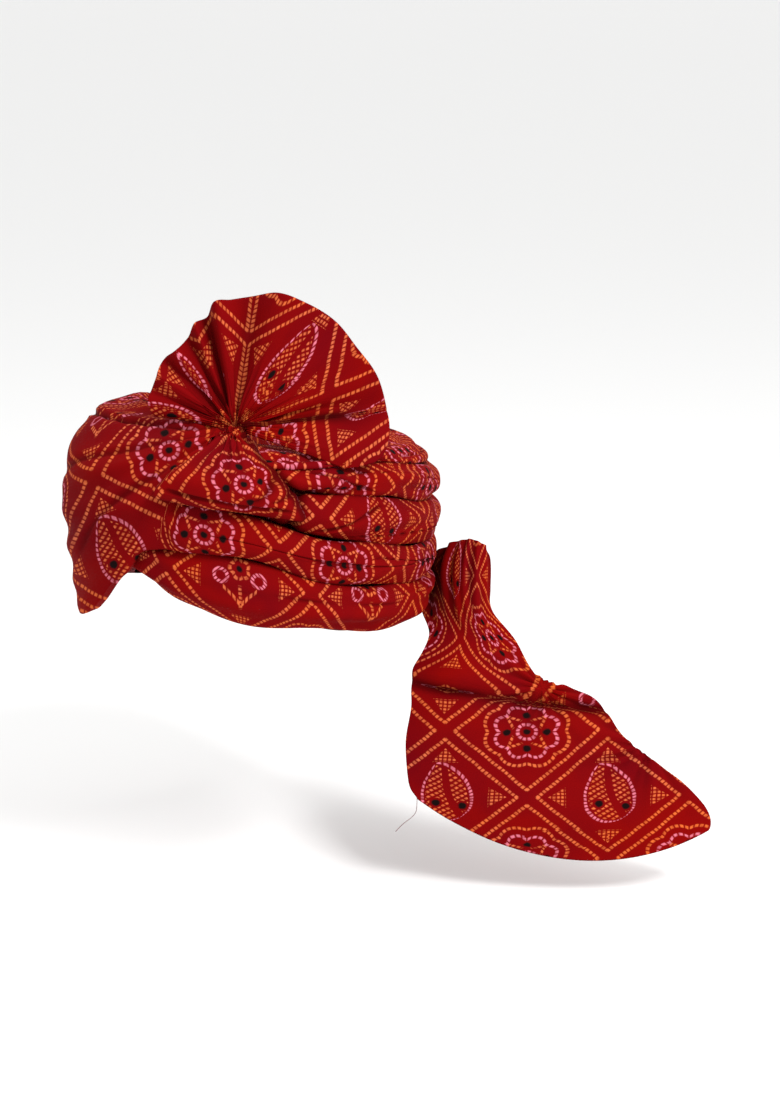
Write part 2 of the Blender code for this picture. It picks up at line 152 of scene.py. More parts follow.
BAND = (
    BandRow(-180, 0.0, 0.78, 0.0, 0.82, 0.26, 0.24, 0.03, 0.03, 0.0),
    BandRow(-150, 0.0, 0.78, 0.0, 0.84, 0.26, 0.24, 0.03, 0.03, 0.0),
    BandRow(-135, 0.0, 0.84, 0.02, 0.96, 0.26, 0.24, 0.03, 0.03, 0.0),
    BandRow(-115, 0.080, 0.90, 0.20, 1.00, 0.22, 0.26, 0.10, 0.10, 0.0),
    BandRow(-90, 0.231, 0.88, 0.49, 0.35, 0.18, 1.10, 0.25, 0.02, 0.0),
    BandRow(-50, 0.348, 0.86, 0.532, -0.10, 0.12, 1.90, 0.28, 0.00, 0.1),
    BandRow(-25, 0.373, 0.90, 0.485, -0.30, 0.16, 1.80, 0.32, 0.00, 0.4),
    BandRow(-12, 0.310, 0.93, 0.430, -0.35, 0.18, 1.65, 0.32, 0.00, 0.6),
    BandRow(-2, 0.195, 0.93, 0.378, -0.35, 0.18, 1.50, 0.25, 0.00, 0.8),
    BandRow(5, 0.128, 0.94, 0.345, -0.30, 0.18, 1.45, 0.16, 0.00, 0.9),
    BandRow(10, 0.026, 0.92, 0.320, -0.15, 0.18, 1.30, 0.15, 0.00, 1.0),
    BandRow(17, 0.0, 0.90, 0.292, -0.15, 0.20, 1.20, 0.12, 0.00, 1.0),
    BandRow(24, 0.0, 0.87, 0.010, 0.92, 0.24, 0.20, 0.06, 0.05, 0.1),
    BandRow(32, 0.0, 0.85, 0.0, 0.87, 0.26, 0.22, 0.05, 0.05, 0.0),
    BandRow(45, 0.0, 0.84, 0.0, 0.86, 0.26, 0.22, 0.05, 0.05, 0.0),
    BandRow(70, 0.0, 0.80, 0.0, 0.86, 0.26, 0.24, 0.04, 0.04, 0.0),
    BandRow(115, 0.0, 0.78, 0.0, 0.84, 0.26, 0.24, 0.03, 0.03, 0.0),
    BandRow(150, 0.0, 0.78, 0.0, 0.82, 0.26, 0.24, 0.03, 0.03, 0.0),
)


@dataclass(frozen=True)
class PuffRib:
    """One rib of the puff: the height and depth of its foot, and how far it bellies out, as shares."""

    turn: float
    low: float
    depth: float
    belly: float


PUFF_RIBS = (
    PuffRib(19, 0.790, 1.14, 0.10),
    PuffRib(28, 0.755, 1.06, 0.36),
    PuffRib(38, 0.725, 0.98, 0.50),
    PuffRib(50, 0.692, 0.97, 0.42),
    PuffRib(61, 0.650, 1.00, 0.12),
)


@dataclass(frozen=True)
class FanRib:
    """One fold line of the fan.

    Angle is in degrees up from the viewer's right, reach is a share of the radius, and fold is the
    share of the pleat that it stands toward the viewer.
    """

    angle: float
    reach: float
    fold: float


FAN_RIBS = (
    FanRib(-20, 0.80, 0.9),
    FanRib(-13, 1.00, 1.3),
    FanRib(-4, 1.06, 0.9),
    FanRib(8, 1.05, -0.8),
    FanRib(20, 1.04, 0.3),
    FanRib(33, 1.00, 0.8),
    FanRib(46, 1.00, 1.0),
    FanRib(60, 0.98, 0.7),
    FanRib(72, 0.97, 0.1),
    FanRib(82, 0.92, -1.0),
    FanRib(91, 0.87, 0.6),
    FanRib(99, 0.86, 1.1),
    FanRib(104, 0.79, -0.7),
    FanRib(111, 0.76, 0.5),
    FanRib(118, 0.70, -0.6),
    FanRib(127, 0.66, 0.5),
    FanRib(136, 0.68, -0.4),
    FanRib(146, 0.64, 0.5),
    FanRib(155, 0.63, -0.2),
    FanRib(163, 0.62, 0.1),
    FanRib(171, 0.56, -0.3),
)


@dataclass(frozen=True)
class TailRow:
    """One row across the tail. Each point is (out, height, ahead), as shares of the tail's sizes."""

    left: tuple[float, float, float]
    middle: tuple[float, float, float]
    right: tuple[float, float, float]


TAIL_ROWS = (
    TailRow((-0.026, 0.120, -0.262), (0.094, 0.255, -0.075), (0.180, 0.205, -0.090)),
    TailRow((-0.030, 0.066, -0.262), (0.075, 0.165, -0.050), (0.190, 0.170, -0.075)),
    TailRow((-0.034, 0.012, -0.262), (0.070, 0.052, -0.038), (0.193, 0.052, -0.060)),
    TailRow((-0.052, -0.076, -0.190), (0.080, -0.054, -0.020), (0.200, -0.042, -0.045)),
    TailRow((-0.028, -0.150, -0.040), (0.120, -0.160, 0.020), (0.273, -0.154, -0.010)),
    TailRow((-0.088, -0.286, 0.035), (0.135, -0.305, 0.080), (0.360, -0.302, 0.045)),
    TailRow((-0.092, -0.414, 0.085), (0.195, -0.440, 0.130), (0.546, -0.376, 0.080)),
    TailRow((-0.112, -0.549, 0.135), (0.275, -0.590, 0.180), (0.666, -0.537, 0.130)),
    TailRow((-0.102, -0.693, 0.180), (0.350, -0.770, 0.225), (0.870, -0.715, 0.180)),
    TailRow((-0.072, -0.758, 0.205), (0.440, -1.000, 0.250), (1.000, -0.885, 0.215)),
)


def through(places: Sequence[float], values: Grid, wanted: Grid, period: float = 0.0) -> Grid:
    """Reads a smooth curve through a table's rows.

    Args:
        places: Where each row stands, rising.
        values: One row of values for each place.
        wanted: The places to read.
        period: The length of a closed table, or 0 for an open one.

    Returns:
        One row of values for each wanted place.
    """
    spots = np.asarray(places, float)
    rows = np.asarray(values, float)
    if period:
        spots = np.concatenate([spots[-2:] - period, spots, spots[:2] + period])
        rows = np.concatenate([rows[-2:], rows, rows[:2]])
        wanted = (wanted - places[0]) % period + places[0]
    slopes = np.gradient(rows, spots, axis=0)
    slopes[1:-1] = (rows[2:] - rows[:-2]) / (spots[2:] - spots[:-2])[:, None]
    index = np.clip(np.searchsorted(spots, wanted, side="right") - 1, 0, len(spots) - 2)
    span = (spots[index + 1] - spots[index])[:, None]
    share = (wanted - spots[index])[:, None] / span
    square, cube = share**2, share**3
    return (
        (2 * cube - 3 * square + 1) * rows[index]
        + (cube - 2 * square + share) * slopes[index] * span
        + (3 * square - 2 * cube) * rows[index + 1]
        + (cube - square) * slopes[index + 1] * span
    )


def columns(table: Sequence[object], turns: Grid) -> dict[str, Grid]:
    """Every column of a table that closes round the head, read at these turns."""
    names = [name for name in vars(table[0]) if name != "turn"]
    values = np.array([[getattr(row, name) for name in names] for row in table])
    read = through([row.turn for row in table], values, turns, period=360.0)
    return {name: read[:, index] for index, name in enumerate(names)}


def at(turn: Grid, depth: Grid, height: Grid) -> Grid:
    """The points this far outside the head's straight wall, at these turns and heights."""
    angle = np.radians(turn)
    across = (HEAD_WIDTH / 2 + depth) * np.sin(angle)
    back = -(HEAD_LENGTH / 2 + depth) * np.cos(angle)
    return np.stack(np.broadcast_arrays(across, back, height), axis=-1)


def dome_depth(height: Grid, offset: float) -> Grid:
    """How far outside the head's straight wall the dome, grown by offset, stands at each height."""
    climb = np.clip((height - BROW_HEIGHT) / (HEAD_HEIGHT - BROW_HEIGHT + offset), 0, 1)
    return (HEAD_WIDTH / 2 + offset) * np.sqrt(1 - climb**2) - HEAD_WIDTH / 2


def bezier(handles: Sequence[Grid], share: Grid) -> Grid:
    """Points of the cubic curves with these four handles, one row for each share."""
    share = share[:, None, None]
    rest = 1 - share
    start, first, second, end = handles
    return start * rest**3 + first * 3 * rest**2 * share + second * 3 * rest * share**2 + end * share**3


def ease(value: Grid) -> Grid:
    """A smooth step from 0 to 1."""
    clipped = np.clip(value, 0, 1)
    return clipped * clipped * (3 - 2 * clipped)


def facing(turn: float) -> Grid:
    """The level direction straight out from the head at this turn."""
    angle = math.radians(turn)
    return np.array([math.sin(angle), -math.cos(angle), 0.0])


def knot_point() -> Grid:
    """Where the fan's pleats and the puff's ribs gather."""
    return at(np.array(KNOT_TURN), -WRAP_DEPTH * KNOT_INSET, np.array(BODY_HEIGHT + KNOT_RISE))


def in_scene(name: str, data: bpy.types.ID) -> bpy.types.Object:
    """A new object in the scene that holds this data."""
    made = bpy.data.objects.new(name, data)
    bpy.context.scene.collection.objects.link(made)
    return made


@dataclass(frozen=True)
class Lay:
    """How the pattern lies on one piece: the cloth is scaled, turned about its own zero, then shifted."""

    shift: tuple[float, float] = (0.0, 0.0)
    turn: float = 0.0
    scale: tuple[float, float] = (1.0, 1.0)

    def placed(self, cloth: Grid) -> Grid:
        """The pattern's coordinates at these cloth coordinates."""
        turn = math.radians(self.turn)
        along, across = cloth[..., 0] * self.scale[0], cloth[..., 1] * self.scale[1]
        turned_along = along * math.cos(turn) - across * math.sin(turn)
        turned_across = along * math.sin(turn) + across * math.cos(turn)
        return np.stack([turned_along + self.shift[0], turned_across + self.shift[1]], axis=-1)


@dataclass(frozen=True)
class Valley:
    """A soft crease that runs along a surface.

    Start and end are (column share, row share). Depth and width are in metres.
    """

    start: tuple[float, float]
    end: tuple[float, float]
    depth: float
    width: float


@dataclass
class Surface:
    """A grid of points with cloth coordinates, from which a piece of cloth is made."""

    points: Grid
    closed: bool = False
    reference: float = 0.5
    pin: float | None = None
    sides: int = 1
    cloth: Grid = field(init=False)
    # Painted shade: how much the finish darkens the cloth's colour at each point, in folds and creases.
    shade: Grid = field(init=False)

    def __post_init__(self) -> None:
        """Measures the cloth coordinates of the unwrinkled surface."""
        self.cloth = self.measure()
        self.shade = np.zeros(self.points.shape[:2])

    def measure(self) -> Grid:
        """Cloth coordinates from lengths along the surface.

        Returns:
            A grid of (along, across) pairs in metres.
        """
        rows, cols = self.points.shape[:2]
        row = int(round(self.reference * (rows - 1)))
        steps = np.linalg.norm(np.diff(self.points, axis=1), axis=-1)
        along = np.concatenate([np.zeros((rows, 1)), np.cumsum(steps, axis=1)], axis=1)
        if self.pin is None:
            along = np.broadcast_to(along[row], (rows, cols))
        else:
            pinned = int(round(self.pin * (cols - 1)))
            along = along - along[:, pinned : pinned + 1]
        climbs = np.linalg.norm(np.diff(self.points, axis=0), axis=-1)
        across = np.concatenate([np.zeros((1, cols)), np.cumsum(climbs, axis=0)])
        across -= across[row]
        return np.stack([along, across], axis=-1)

    def normals(self) -> Grid:
        """Unit normals, along the columns' direction crossed with the rows' direction."""
        if self.closed:
            wrapped = np.concatenate([self.points[:, -2:-1], self.points, self.points[:, 1:2]], axis=1)
            along = np.gradient(wrapped, axis=1)[:, 1:-1]
        else:
            along = np.gradient(self.points, axis=1)
        across = np.gradient(self.points, axis=0)
        cross = np.cross(along, across)
        return cross / np.maximum(np.linalg.norm(cross, axis=-1, keepdims=True), 1e-12)

    def push(self, amount: Grid) -> None:
        """Moves every point along its normal."""
        self.points = self.points + self.normals() * amount[..., None]

    def shares(self) -> tuple[Grid, Grid]:
        """The column share and the row share of every point."""
        rows, cols = self.points.shape[:2]
        return np.meshgrid(np.linspace(0, 1, cols), np.linspace(0, 1, rows))

    def crease(self, valleys: Sequence[Valley]) -> None:
        """Presses soft creases into the surface, each with a slight ridge beside it, and paints shade along
        each crease.
        """
        column, row = self.shares()
        total = np.zeros_like(column)
        for valley in valleys:
            run = valley.end[0] - valley.start[0], valley.end[1] - valley.start[1]
            length = math.hypot(*run)
            ahead = ((column - valley.start[0]) * run[0] + (row - valley.start[1]) * run[1]) / length**2
            near_column = valley.start[0] + run[0] * np.clip(ahead, 0, 1)
            near_row = valley.start[1] + run[1] * np.clip(ahead, 0, 1)
            metres_along = self.cloth[..., 0].max() - self.cloth[..., 0].min()
            metres_across = self.cloth[-1, :, 1] - self.cloth[0, :, 1]
            gap = np.hypot((column - near_column) * metres_along, (row - near_row) * metres_across[None])
            fade = ease(np.minimum(ahead, 1 - ahead) * 4 + 0.5)
            ridge = 0.35 * np.exp(-((gap / (2.6 * valley.width)) ** 2))
            total += valley.depth * (ridge - np.exp(-((gap / valley.width) ** 2))) * fade
            # Painted shade along the crease's floor, stronger for deeper creases.
            self.paint_shade(np.exp(-((gap / (0.8 * valley.width)) ** 2)) * fade * min(valley.depth / 0.004, 1))
        self.push(total)

    def paint_shade(self, amount: Grid) -> None:
        """Adds painted shade: marks where the finish darkens the cloth's colour, as in folds and creases.
        """
        self.shade = 1 - (1 - self.shade) * (1 - np.clip(amount, 0, 1))

    def paint_edge_shade(self, low: float, high: float, strength: float) -> None:
        """Adds painted shade along both edges, where the cloth turns in under its neighbours.

        Args:
            low: The share of the rows, from the first one, over which the painted shade fades.
            high: The same from the last row.
            strength: How strong the painted shade is at the edge.
        """
        _, row = self.shares()
        self.paint_shade(strength * (1 - ease(row / low)))
        self.paint_shade(strength * (1 - ease((1 - row) / high)))

    def undulate(self, height: float, wave: float, seed: int, stretch: float = 2.5) -> None:
        """Adds slow, irregular swells, longer along the cloth than across it.

        Args:
            height: The swells' usual height.
            wave: Their usual length across the cloth.
            seed: Picks the pattern of swells.
            stretch: How many times longer they are along the cloth.
        """
        rng = np.random.default_rng(seed)
        total = np.zeros(self.points.shape[:2])
        column, _ = self.shares()
        length = float(np.ptp(self.cloth[..., 0], axis=1).mean())
        for _ in range(7):
            across = rng.uniform(0.6, 1.6) / wave
            along = rng.uniform(-1.0, 1.0) * length / (wave * stretch)
            if self.closed:
                along = round(along)
            phase = rng.uniform(0, 2 * math.pi)
            total += np.sin(2 * math.pi * (column * along + self.cloth[..., 1] * across) + phase)
        self.push(total * height / 2.6)

    def radiate(self, centre: Grid, height: float, reach: float, count: float, shade: float = 0.0) -> None:
        """Adds small folds that radiate from a gathered point, with painted shade at their bottoms.

        Args:
            centre: The point, in space.
            height: The folds' height near the point.
            reach: How far from the point they die out.
            count: How many folds a full circle would hold.
            shade: How strong the painted shade is at the bottom of the folds.
        """
        offset = self.points - centre
        right, outward = facing(VIEWER_TURN + 90), facing(VIEWER_TURN)
        side, rise = offset @ right, offset[..., 2] - offset @ outward * VIEWER_SLOPE
        away = np.hypot(side, rise)
        angle = np.arctan2(rise, side)
        waves = 0.65 * np.sin(angle * count + 3 * np.sin(angle * 2.0))
        waves += 0.35 * np.sin(angle * count * 1.7 + 1.0)
        near = np.exp(-((away / reach) ** 2)) * ease(away / (0.25 * reach))
        # Painted shade at the bottoms of the folds, near the gathered point.
        self.paint_shade(shade * np.exp(-((away / reach) ** 2)) * np.clip(-waves, 0, 1))
        self.push(waves * near * height)

    def area(self) -> float:
        """The surface's area."""
        down, over = np.diff(self.points, axis=0), np.diff(self.points, axis=1)
        return float(np.linalg.norm(np.cross(down[:, :-1], over[:-1]), axis=-1).sum())

    def flat_size(self) -> tuple[float, float]:
        """The width of the cloth that the piece was made of, and the length with the same area."""
        across = float(np.mean(self.cloth[-1, :, 1] - self.cloth[0, :, 1]))
        return round(abs(across), 3), round(self.area() / self.sides / abs(across), 3)

    def piece(
        self, name: str, lay: Lay, material: bpy.types.Material, wall: float = 0.0
    ) -> bpy.types.Object:
        """Makes the mesh object, with its cloth coordinates as a UV map and its painted shade as a point
        attribute.

        Args:
            name: The piece's name.
            lay: How the pattern lies on it.
            material: Its finish.
            wall: The thickness to give it, or 0 for a skin that the piece beneath backs.

        Returns:
            The finished object, at the origin.
        """
        rows, cols = self.points.shape[:2]
        mesh = bmesh.new()
        bmesh.ops.create_grid(mesh, x_segments=cols - 1, y_segments=rows - 1, size=0.5)
        uv_layer = mesh.loops.layers.uv.new("cloth")
        # The painted shade goes to the mesh as the 'fold' attribute, which the finish reads.
        painted_shade_layer = mesh.verts.layers.float.new("fold")
        spots = {}
        for vert in mesh.verts:
            col = round((vert.co.x + 0.5) * (cols - 1))
            row = round((vert.co.y + 0.5) * (rows - 1))
            spots[vert] = row, col
        pattern = lay.placed(self.cloth)
        for face in mesh.faces:
            for loop in face.loops:
                loop[uv_layer].uv = pattern[spots[loop.vert]]
        for vert, (row, col) in spots.items():
            vert.co = Vector(self.points[row, col])
            vert[painted_shade_layer] = float(self.shade[row, col])
        if self.closed:
            bmesh.ops.remove_doubles(mesh, verts=mesh.verts, dist=1e-6)
        for face in mesh.faces:
            face.smooth = True
        if wall:
            bmesh.ops.solidify(mesh, geom=mesh.faces[:], thickness=wall)
            bmesh.ops.recalc_face_normals(mesh, faces=mesh.faces)
            for face in mesh.faces:
                face.smooth = True
        data = bpy.data.meshes.new(name)
        mesh.to_mesh(data)
        mesh.free()
        data.materials.append(material)
        return in_scene(name, data)


class Value:
    """A shader socket that Python arithmetic turns into Math nodes."""

    def __init__(self, tree: bpy.types.NodeTree, socket: bpy.types.NodeSocket) -> None:
        """Wraps one socket of this node tree."""
        self.tree = tree
        self.socket = socket

    def math(self, operation: str, *others: "Value | float", clamp: bool = False) -> "Value":
        """The result of one Math node."""
        node = self.tree.nodes.new("ShaderNodeMath")
        node.operation = operation
        node.use_clamp = clamp
        for slot, value in zip(node.inputs, (self, *others)):
            if isinstance(value, Value):
                self.tree.links.new(value.socket, slot)
            else:
                slot.default_value = value
        return Value(self.tree, node.outputs[0])

    def __add__(self, other: "Value | float") -> "Value":
        """Sum."""
        return self.math("ADD", other)

    def __mul__(self, other: "Value | float") -> "Value":
        """Product."""
        return self.math("MULTIPLY", other)

    def __sub__(self, other: "Value | float") -> "Value":
        """Difference."""
        return self.math("SUBTRACT", other)

    def __rsub__(self, other: float) -> "Value":
        """Difference from a number."""
        return self.math("MULTIPLY", -1.0).math("ADD", other)

    def __truediv__(self, other: "Value | float") -> "Value":
        """Quotient."""
        return self.math("DIVIDE", other)

    def __abs__(self) -> "Value":
        """Absolute value."""
        return self.math("ABSOLUTE")

    def clamped(self, offset: float = 0.0) -> "Value":
        """This plus an offset, kept between 0 and 1."""
        return self.math("ADD", offset, clamp=True)

    def over(self, limit: "Value | float") -> "Value":
        """1 where this is more than the limit, 0 elsewhere."""
        return self.math("GREATER_THAN", limit)

    def under(self, limit: "Value | float") -> "Value":
        """1 where this is less than the limit, 0 elsewhere."""
        return self.math("LESS_THAN", limit)

    def least(self, other: "Value | float") -> "Value":
        """The smaller of the two."""
        return self.math("MINIMUM", other)

    def most(self, other: "Value | float") -> "Value":
        """The larger of the two."""
        return self.math("MAXIMUM", other)

    def length(self, other: "Value") -> "Value":
        """The length of the vector with these two parts."""
        return (self * self + other * other).math("SQRT")

    def stripe(self, centre: "Value | float", half: float, soft: float) -> "Value":
        """A soft-edged stripe where this lies within half of the centre."""
        return ((half - abs(self - centre)) / soft).clamped(0.5)

    def dots(self, count: "Value | float", filled: float) -> "Value":
        """Soft dashes, this many for each unit, each filling this share of its place."""
        wave = (self * count).math("FRACT") - 0.5
        return ((filled / 2 - abs(wave)) / 0.22).clamped(0.5)


class Shader:
    """Makes the nodes of one material."""

    def __init__(self, name: str) -> None:
        """Starts a material with an empty Principled shader."""
        self.material = bpy.data.materials.new(name)
        self.material.use_nodes = True
        self.tree = self.material.node_tree
        self.principled = self.tree.nodes["Principled BSDF"]

    def node(self, kind: str, settings: dict | None = None, **sockets: object) -> bpy.types.Node:
        """Adds a node.

        Args:
            kind: The node's type.
            settings: Its own settings, set first.
            sockets: What its sockets get.

        Returns:
            The node.
        """
        node = self.tree.nodes.new(kind)
        for key, value in (settings or {}).items():
            setattr(node, key, value)
        self.feed(node, **sockets)
        return node

    def feed(self, node: bpy.types.Node, **sockets: object) -> None:
        """Links or sets a node's sockets, named with underscores for spaces."""
        for key, value in sockets.items():
            slot = node.inputs[key.replace("_", " ")]
            source = value.socket if isinstance(value, Value) else value
            if isinstance(source, bpy.types.NodeSocket):
                self.tree.links.new(source, slot)
            else:
                slot.default_value = source

    def grain(self, scale: float, detail: float, flat: bpy.types.NodeSocket | None = None) -> Value:
        """Noise in space, or over the flat cloth where its coordinates are given."""
        if flat is not None:
            node = self.node("ShaderNodeTexNoise", {"noise_dimensions": "2D"}, Vector=flat)
        else:
            node = self.node("ShaderNodeTexNoise")
        self.feed(node, Scale=scale, Detail=detail)
        return self.value(node.outputs["Fac"])

    def value(self, socket: bpy.types.NodeSocket) -> Value:
        """Wraps a socket for arithmetic."""
        return Value(self.tree, socket)

    def blend(self, share: Value, below: object, above: object) -> bpy.types.NodeSocket:
        """Mixes two colours by a share."""
        node = self.node("ShaderNodeMix", {"data_type": "RGBA"})
        self.tree.links.new(share.socket, node.inputs["Factor"])
        for slot, colour in ((node.inputs[6], below), (node.inputs[7], above)):
            if isinstance(colour, bpy.types.NodeSocket):
                self.tree.links.new(colour, slot)
            else:
                slot.default_value = (*colour, 1)
        return node.outputs[2]


@dataclass(frozen=True)
class DyedCotton:
    """Thin red cotton, tie-dyed with a lattice of dots that frames flowers and drop-shaped motifs."""

    name: str
    red: tuple[float, float, float] = (0.185, 0.0012, 0.0010)
    crimson: tuple[float, float, float] = (0.130, 0.0008, 0.0026)
    orange: tuple[float, float, float] = (0.60, 0.112, 0.024)
    salmon: tuple[float, float, float] = (0.54, 0.118, 0.050)
    pink: tuple[float, float, float] = (0.62, 0.150, 0.210)
    spot: tuple[float, float, float] = (0.007, 0.003, 0.003)
    # The dark red that painted shade in folds and creases blends the colour toward.
    painted_shade_colour: tuple[float, float, float] = (0.016, 0.0002, 0.0005)
    half_cell: float = 0.050
    inset: float = 0.0043
    dash: float = 0.0029
    line: float = 0.00105
    soft: float = 0.0007
    roughness: float = 0.78
    # How strongly the painted shade darkens the colour.
    painted_shade_strength: float = 0.82
    wander: float = 0.0016
    thread: float = 0.0008
    rim: float = 0.0238
    inner_rim: float = 0.0165
    flower_eye: float = 0.0056
    petal_reach: float = 0.0120
    spot_reach: float = 0.0122
    drop_foot: float = -0.0190
    drop_height: float = 0.0430
    drop_width: float = 0.0395
    drop_bend: float = 0.0120
    drop_dashes: int = 40
    drop_ahead: float = 0.82
    drop_aside: float = 0.57
    crown_height: float = 0.0090
    bud_out: float = 0.0125
    bud_radius: float = 0.0042
    corner_reach: float = 0.0372
    corner_start: float = 0.0262
    corner_dash: float = 0.0027

    def lattice(self, x: Value, y: Value) -> dict[str, Value]:
        """Splits the cloth into diamond cells.

        Args:
            x: Cloth coordinate along the cloth.
            y: Cloth coordinate across it.

        Returns:
            The cell's numbers, and the place inside it.
        """
        down = (x + y) / (2 * self.half_cell)
        up = (x - y) / (2 * self.half_cell)
        first, second = down.math("ROUND"), up.math("ROUND")
        inner_down, inner_up = down - first, up - second
        return {
            "first": first,
            "second": second,
            "down": inner_down,
            "up": inner_up,
            "x": (inner_down + inner_up) * self.half_cell,
            "y": (inner_down - inner_up) * self.half_cell,
        }

    def border(self, cell: dict[str, Value]) -> Value:
        """The dashed square line just inside each cell's edge."""
        side = self.half_cell * math.sqrt(2)
        down, up = abs(cell["down"]), abs(cell["up"])
        edge = (0.5 - down.most(up)) * side
        steep = down.over(up)
        along = cell["up"] * steep + cell["down"] * (1 - steep)
        dashes = along.dots(side / self.dash, 0.66)
        return edge.stripe(self.inset, self.line, self.soft) * dashes

    def ring(self, radius: Value, angle: Value, size: float, scallop: float, lobes: int) -> Value:
        """A dashed ring with a scalloped edge round the cell's middle."""
        bumps = abs((angle * (lobes / 2)).math("SINE"))
        count = round(2 * math.pi * size / self.dash)
        dashes = angle.dots(count / (2 * math.pi), 0.64)
        return radius.stripe(bumps * scallop + size, self.line, self.soft) * dashes

    def flower(self, x: Value, y: Value) -> tuple[Value, Value, Value]:
        """A round flower: an orange rim, a pink rim, a pink eye, petals and dark spots.

        Returns:
            The orange, pink and dark parts.
        """
        radius, angle = x.length(y), y.math("ARCTAN2", x)
        wide, narrow = abs(x).most(abs(y)), abs(x).least(abs(y))
        rim = self.ring(radius, angle, self.rim, 0.0030, 8)
        inner = self.ring(radius, angle, self.inner_rim, 0.0036, 8)
        eye = self.ring(radius, angle, self.flower_eye, 0.0, 1)
        slant = (wide + narrow) / math.sqrt(2)
        beside = (wide - narrow) / math.sqrt(2)
        petal = beside.stripe((self.inner_rim - slant) * 0.45, self.line * 0.8, self.soft)
        petal = petal * slant.stripe(self.petal_reach, 0.0040, self.soft) * slant.dots(1 / self.dash, 0.62)
        spot = self.blot((wide - self.spot_reach).length(narrow), 0.0024)
        core = self.blot(radius, 0.0022)
        return rim.most(petal), inner.most(eye), spot.most(core)

    def blot(self, distance: Value, radius: float) -> Value:
        """A dark, soft-edged spot."""
        return ((radius - distance) / (3 * self.soft)).clamped(0.5)

    def drop(self, x: Value, y: Value) -> tuple[Value, Value, Value]:
        """A bent drop with a pink outline, rows of orange bricks and dark eyes.

        Returns:
            The orange, pink and dark parts.
        """
        climb = ((y - self.drop_foot) / self.drop_height).clamped()
        bend = climb * climb * self.drop_bend - 0.0020
        half = climb.math("SQRT") * (1 - climb).math("POWER", 0.70) * self.drop_width
        beside = abs(x - bend)
        inside = half - beside
        angle = (y + 0.0040).math("ARCTAN2", x)
        dashes = angle.dots(self.drop_dashes / (2 * math.pi), 0.62)
        body = climb.over(0.001) * climb.under(0.999)
        outline = inside.stripe(0.0011, self.line, self.soft) * dashes * body
        room = inside.over(0.0036) * body
        channel = abs(x - bend * 1.5 - 0.0020).over(0.0026)
        rows = (y / 0.0034).dots(1.0, 0.46)
        bricks = (x + y * 0.35).dots(1 / self.dash, 0.60) * rows * room * channel
        eye = (x + 0.0078).length(y + 0.0010).least((x - 0.0045).length(y + 0.0120))
        dark = self.blot(eye, 0.0026)
        clear = eye.over(0.0040)
        return bricks * clear, outline, dark

    def sprig(self, x: Value, y: Value) -> tuple[Value, Value, Value]:
        """A small sprig: a stem with leaves, two pink buds beside an orange flower and a dark heart.

        Returns:
            The orange, pink and dark parts.
        """
        side = abs(x)
        above = y - self.crown_height
        stem = x.stripe(0.0, self.line, self.soft) * y.stripe(-0.0100, 0.0080, self.soft)
        stem = stem * y.dots(1 / self.dash, 0.60)
        leaf = (side * 0.7 - y * 0.7).stripe(0.0105, self.line, self.soft)
        leaf = leaf * side.under(0.0110) * y.under(0.0) * side.dots(1 / self.dash, 0.60)
        crown = self.ring(x.length(above), above.math("ARCTAN2", x), 0.0052, 0.0014, 5)
        bud = (side - self.bud_out).length(y - 0.0030).stripe(self.bud_radius, self.line, self.soft)
        heart = self.blot(side.length(above), 0.0020)
        return stem.most(leaf).most(crown), bud * (side + y).dots(1 / self.dash, 0.60), heart

    def corners(self, x: Value, y: Value) -> Value:
        """Small triangles of dots in a cell's corners."""
        wide, narrow = abs(x).most(abs(y)), abs(x).least(abs(y))
        wedge = ((self.corner_reach - wide) * 0.72 - narrow).over(0.0) * wide.over(self.corner_start)
        beside = narrow + self.corner_dash / 2
        return wedge * wide.dots(1 / self.corner_dash, 0.60) * beside.dots(1 / self.corner_dash, 0.60)

    def build(self) -> bpy.types.Material:
        """Makes the material.

        Returns:
            The finished material, which reads the piece's cloth coordinates and the painted shade that each
            piece stores.
        """
        shader = Shader(self.name)
        flat = shader.node("ShaderNodeUVMap", {"uv_map": "cloth"}).outputs[0]
        wander = shader.node("ShaderNodeTexNoise", {"noise_dimensions": "2D"}, Vector=flat, Scale=70.0)
        shift = shader.node("ShaderNodeVectorMath", {"operation": "MULTIPLY_ADD"})
        shader.tree.links.new(wander.outputs["Color"], shift.inputs[0])
        shift.inputs[1].default_value = (self.wander, self.wander, 0)
        shader.tree.links.new(flat, shift.inputs[2])
        split = shader.node("ShaderNodeSeparateXYZ", Vector=shift.outputs[0])
        x, y = shader.value(split.outputs[0]), shader.value(split.outputs[1])

        cell = self.lattice(x, y)
        column = ((cell["first"] + cell["second"]) / 2).math("FLOORED_MODULO", 1.0)
        level = ((cell["first"] - cell["second"]) / 4).math("FLOORED_MODULO", 1.0)
        is_flower = column.under(0.25)
        is_drop = (1 - is_flower) * level.over(0.5)
        is_sprig = (1 - is_flower) * level.under(0.5)
        flower = self.flower(cell["x"], cell["y"])
        drop = self.drop(
            cell["x"] * self.drop_ahead + cell["y"] * self.drop_aside,
            cell["y"] * self.drop_ahead - cell["x"] * self.drop_aside,
        )
        sprig = self.sprig(cell["x"], cell["y"])
        parts = [
            flower[index] * is_flower + drop[index] * is_drop + sprig[index] * is_sprig
            for index in range(3)
        ]
        triangles = self.corners(cell["x"], cell["y"]) * (1 - is_flower)
        lines = self.border(cell).most(parts[0]).most(triangles)

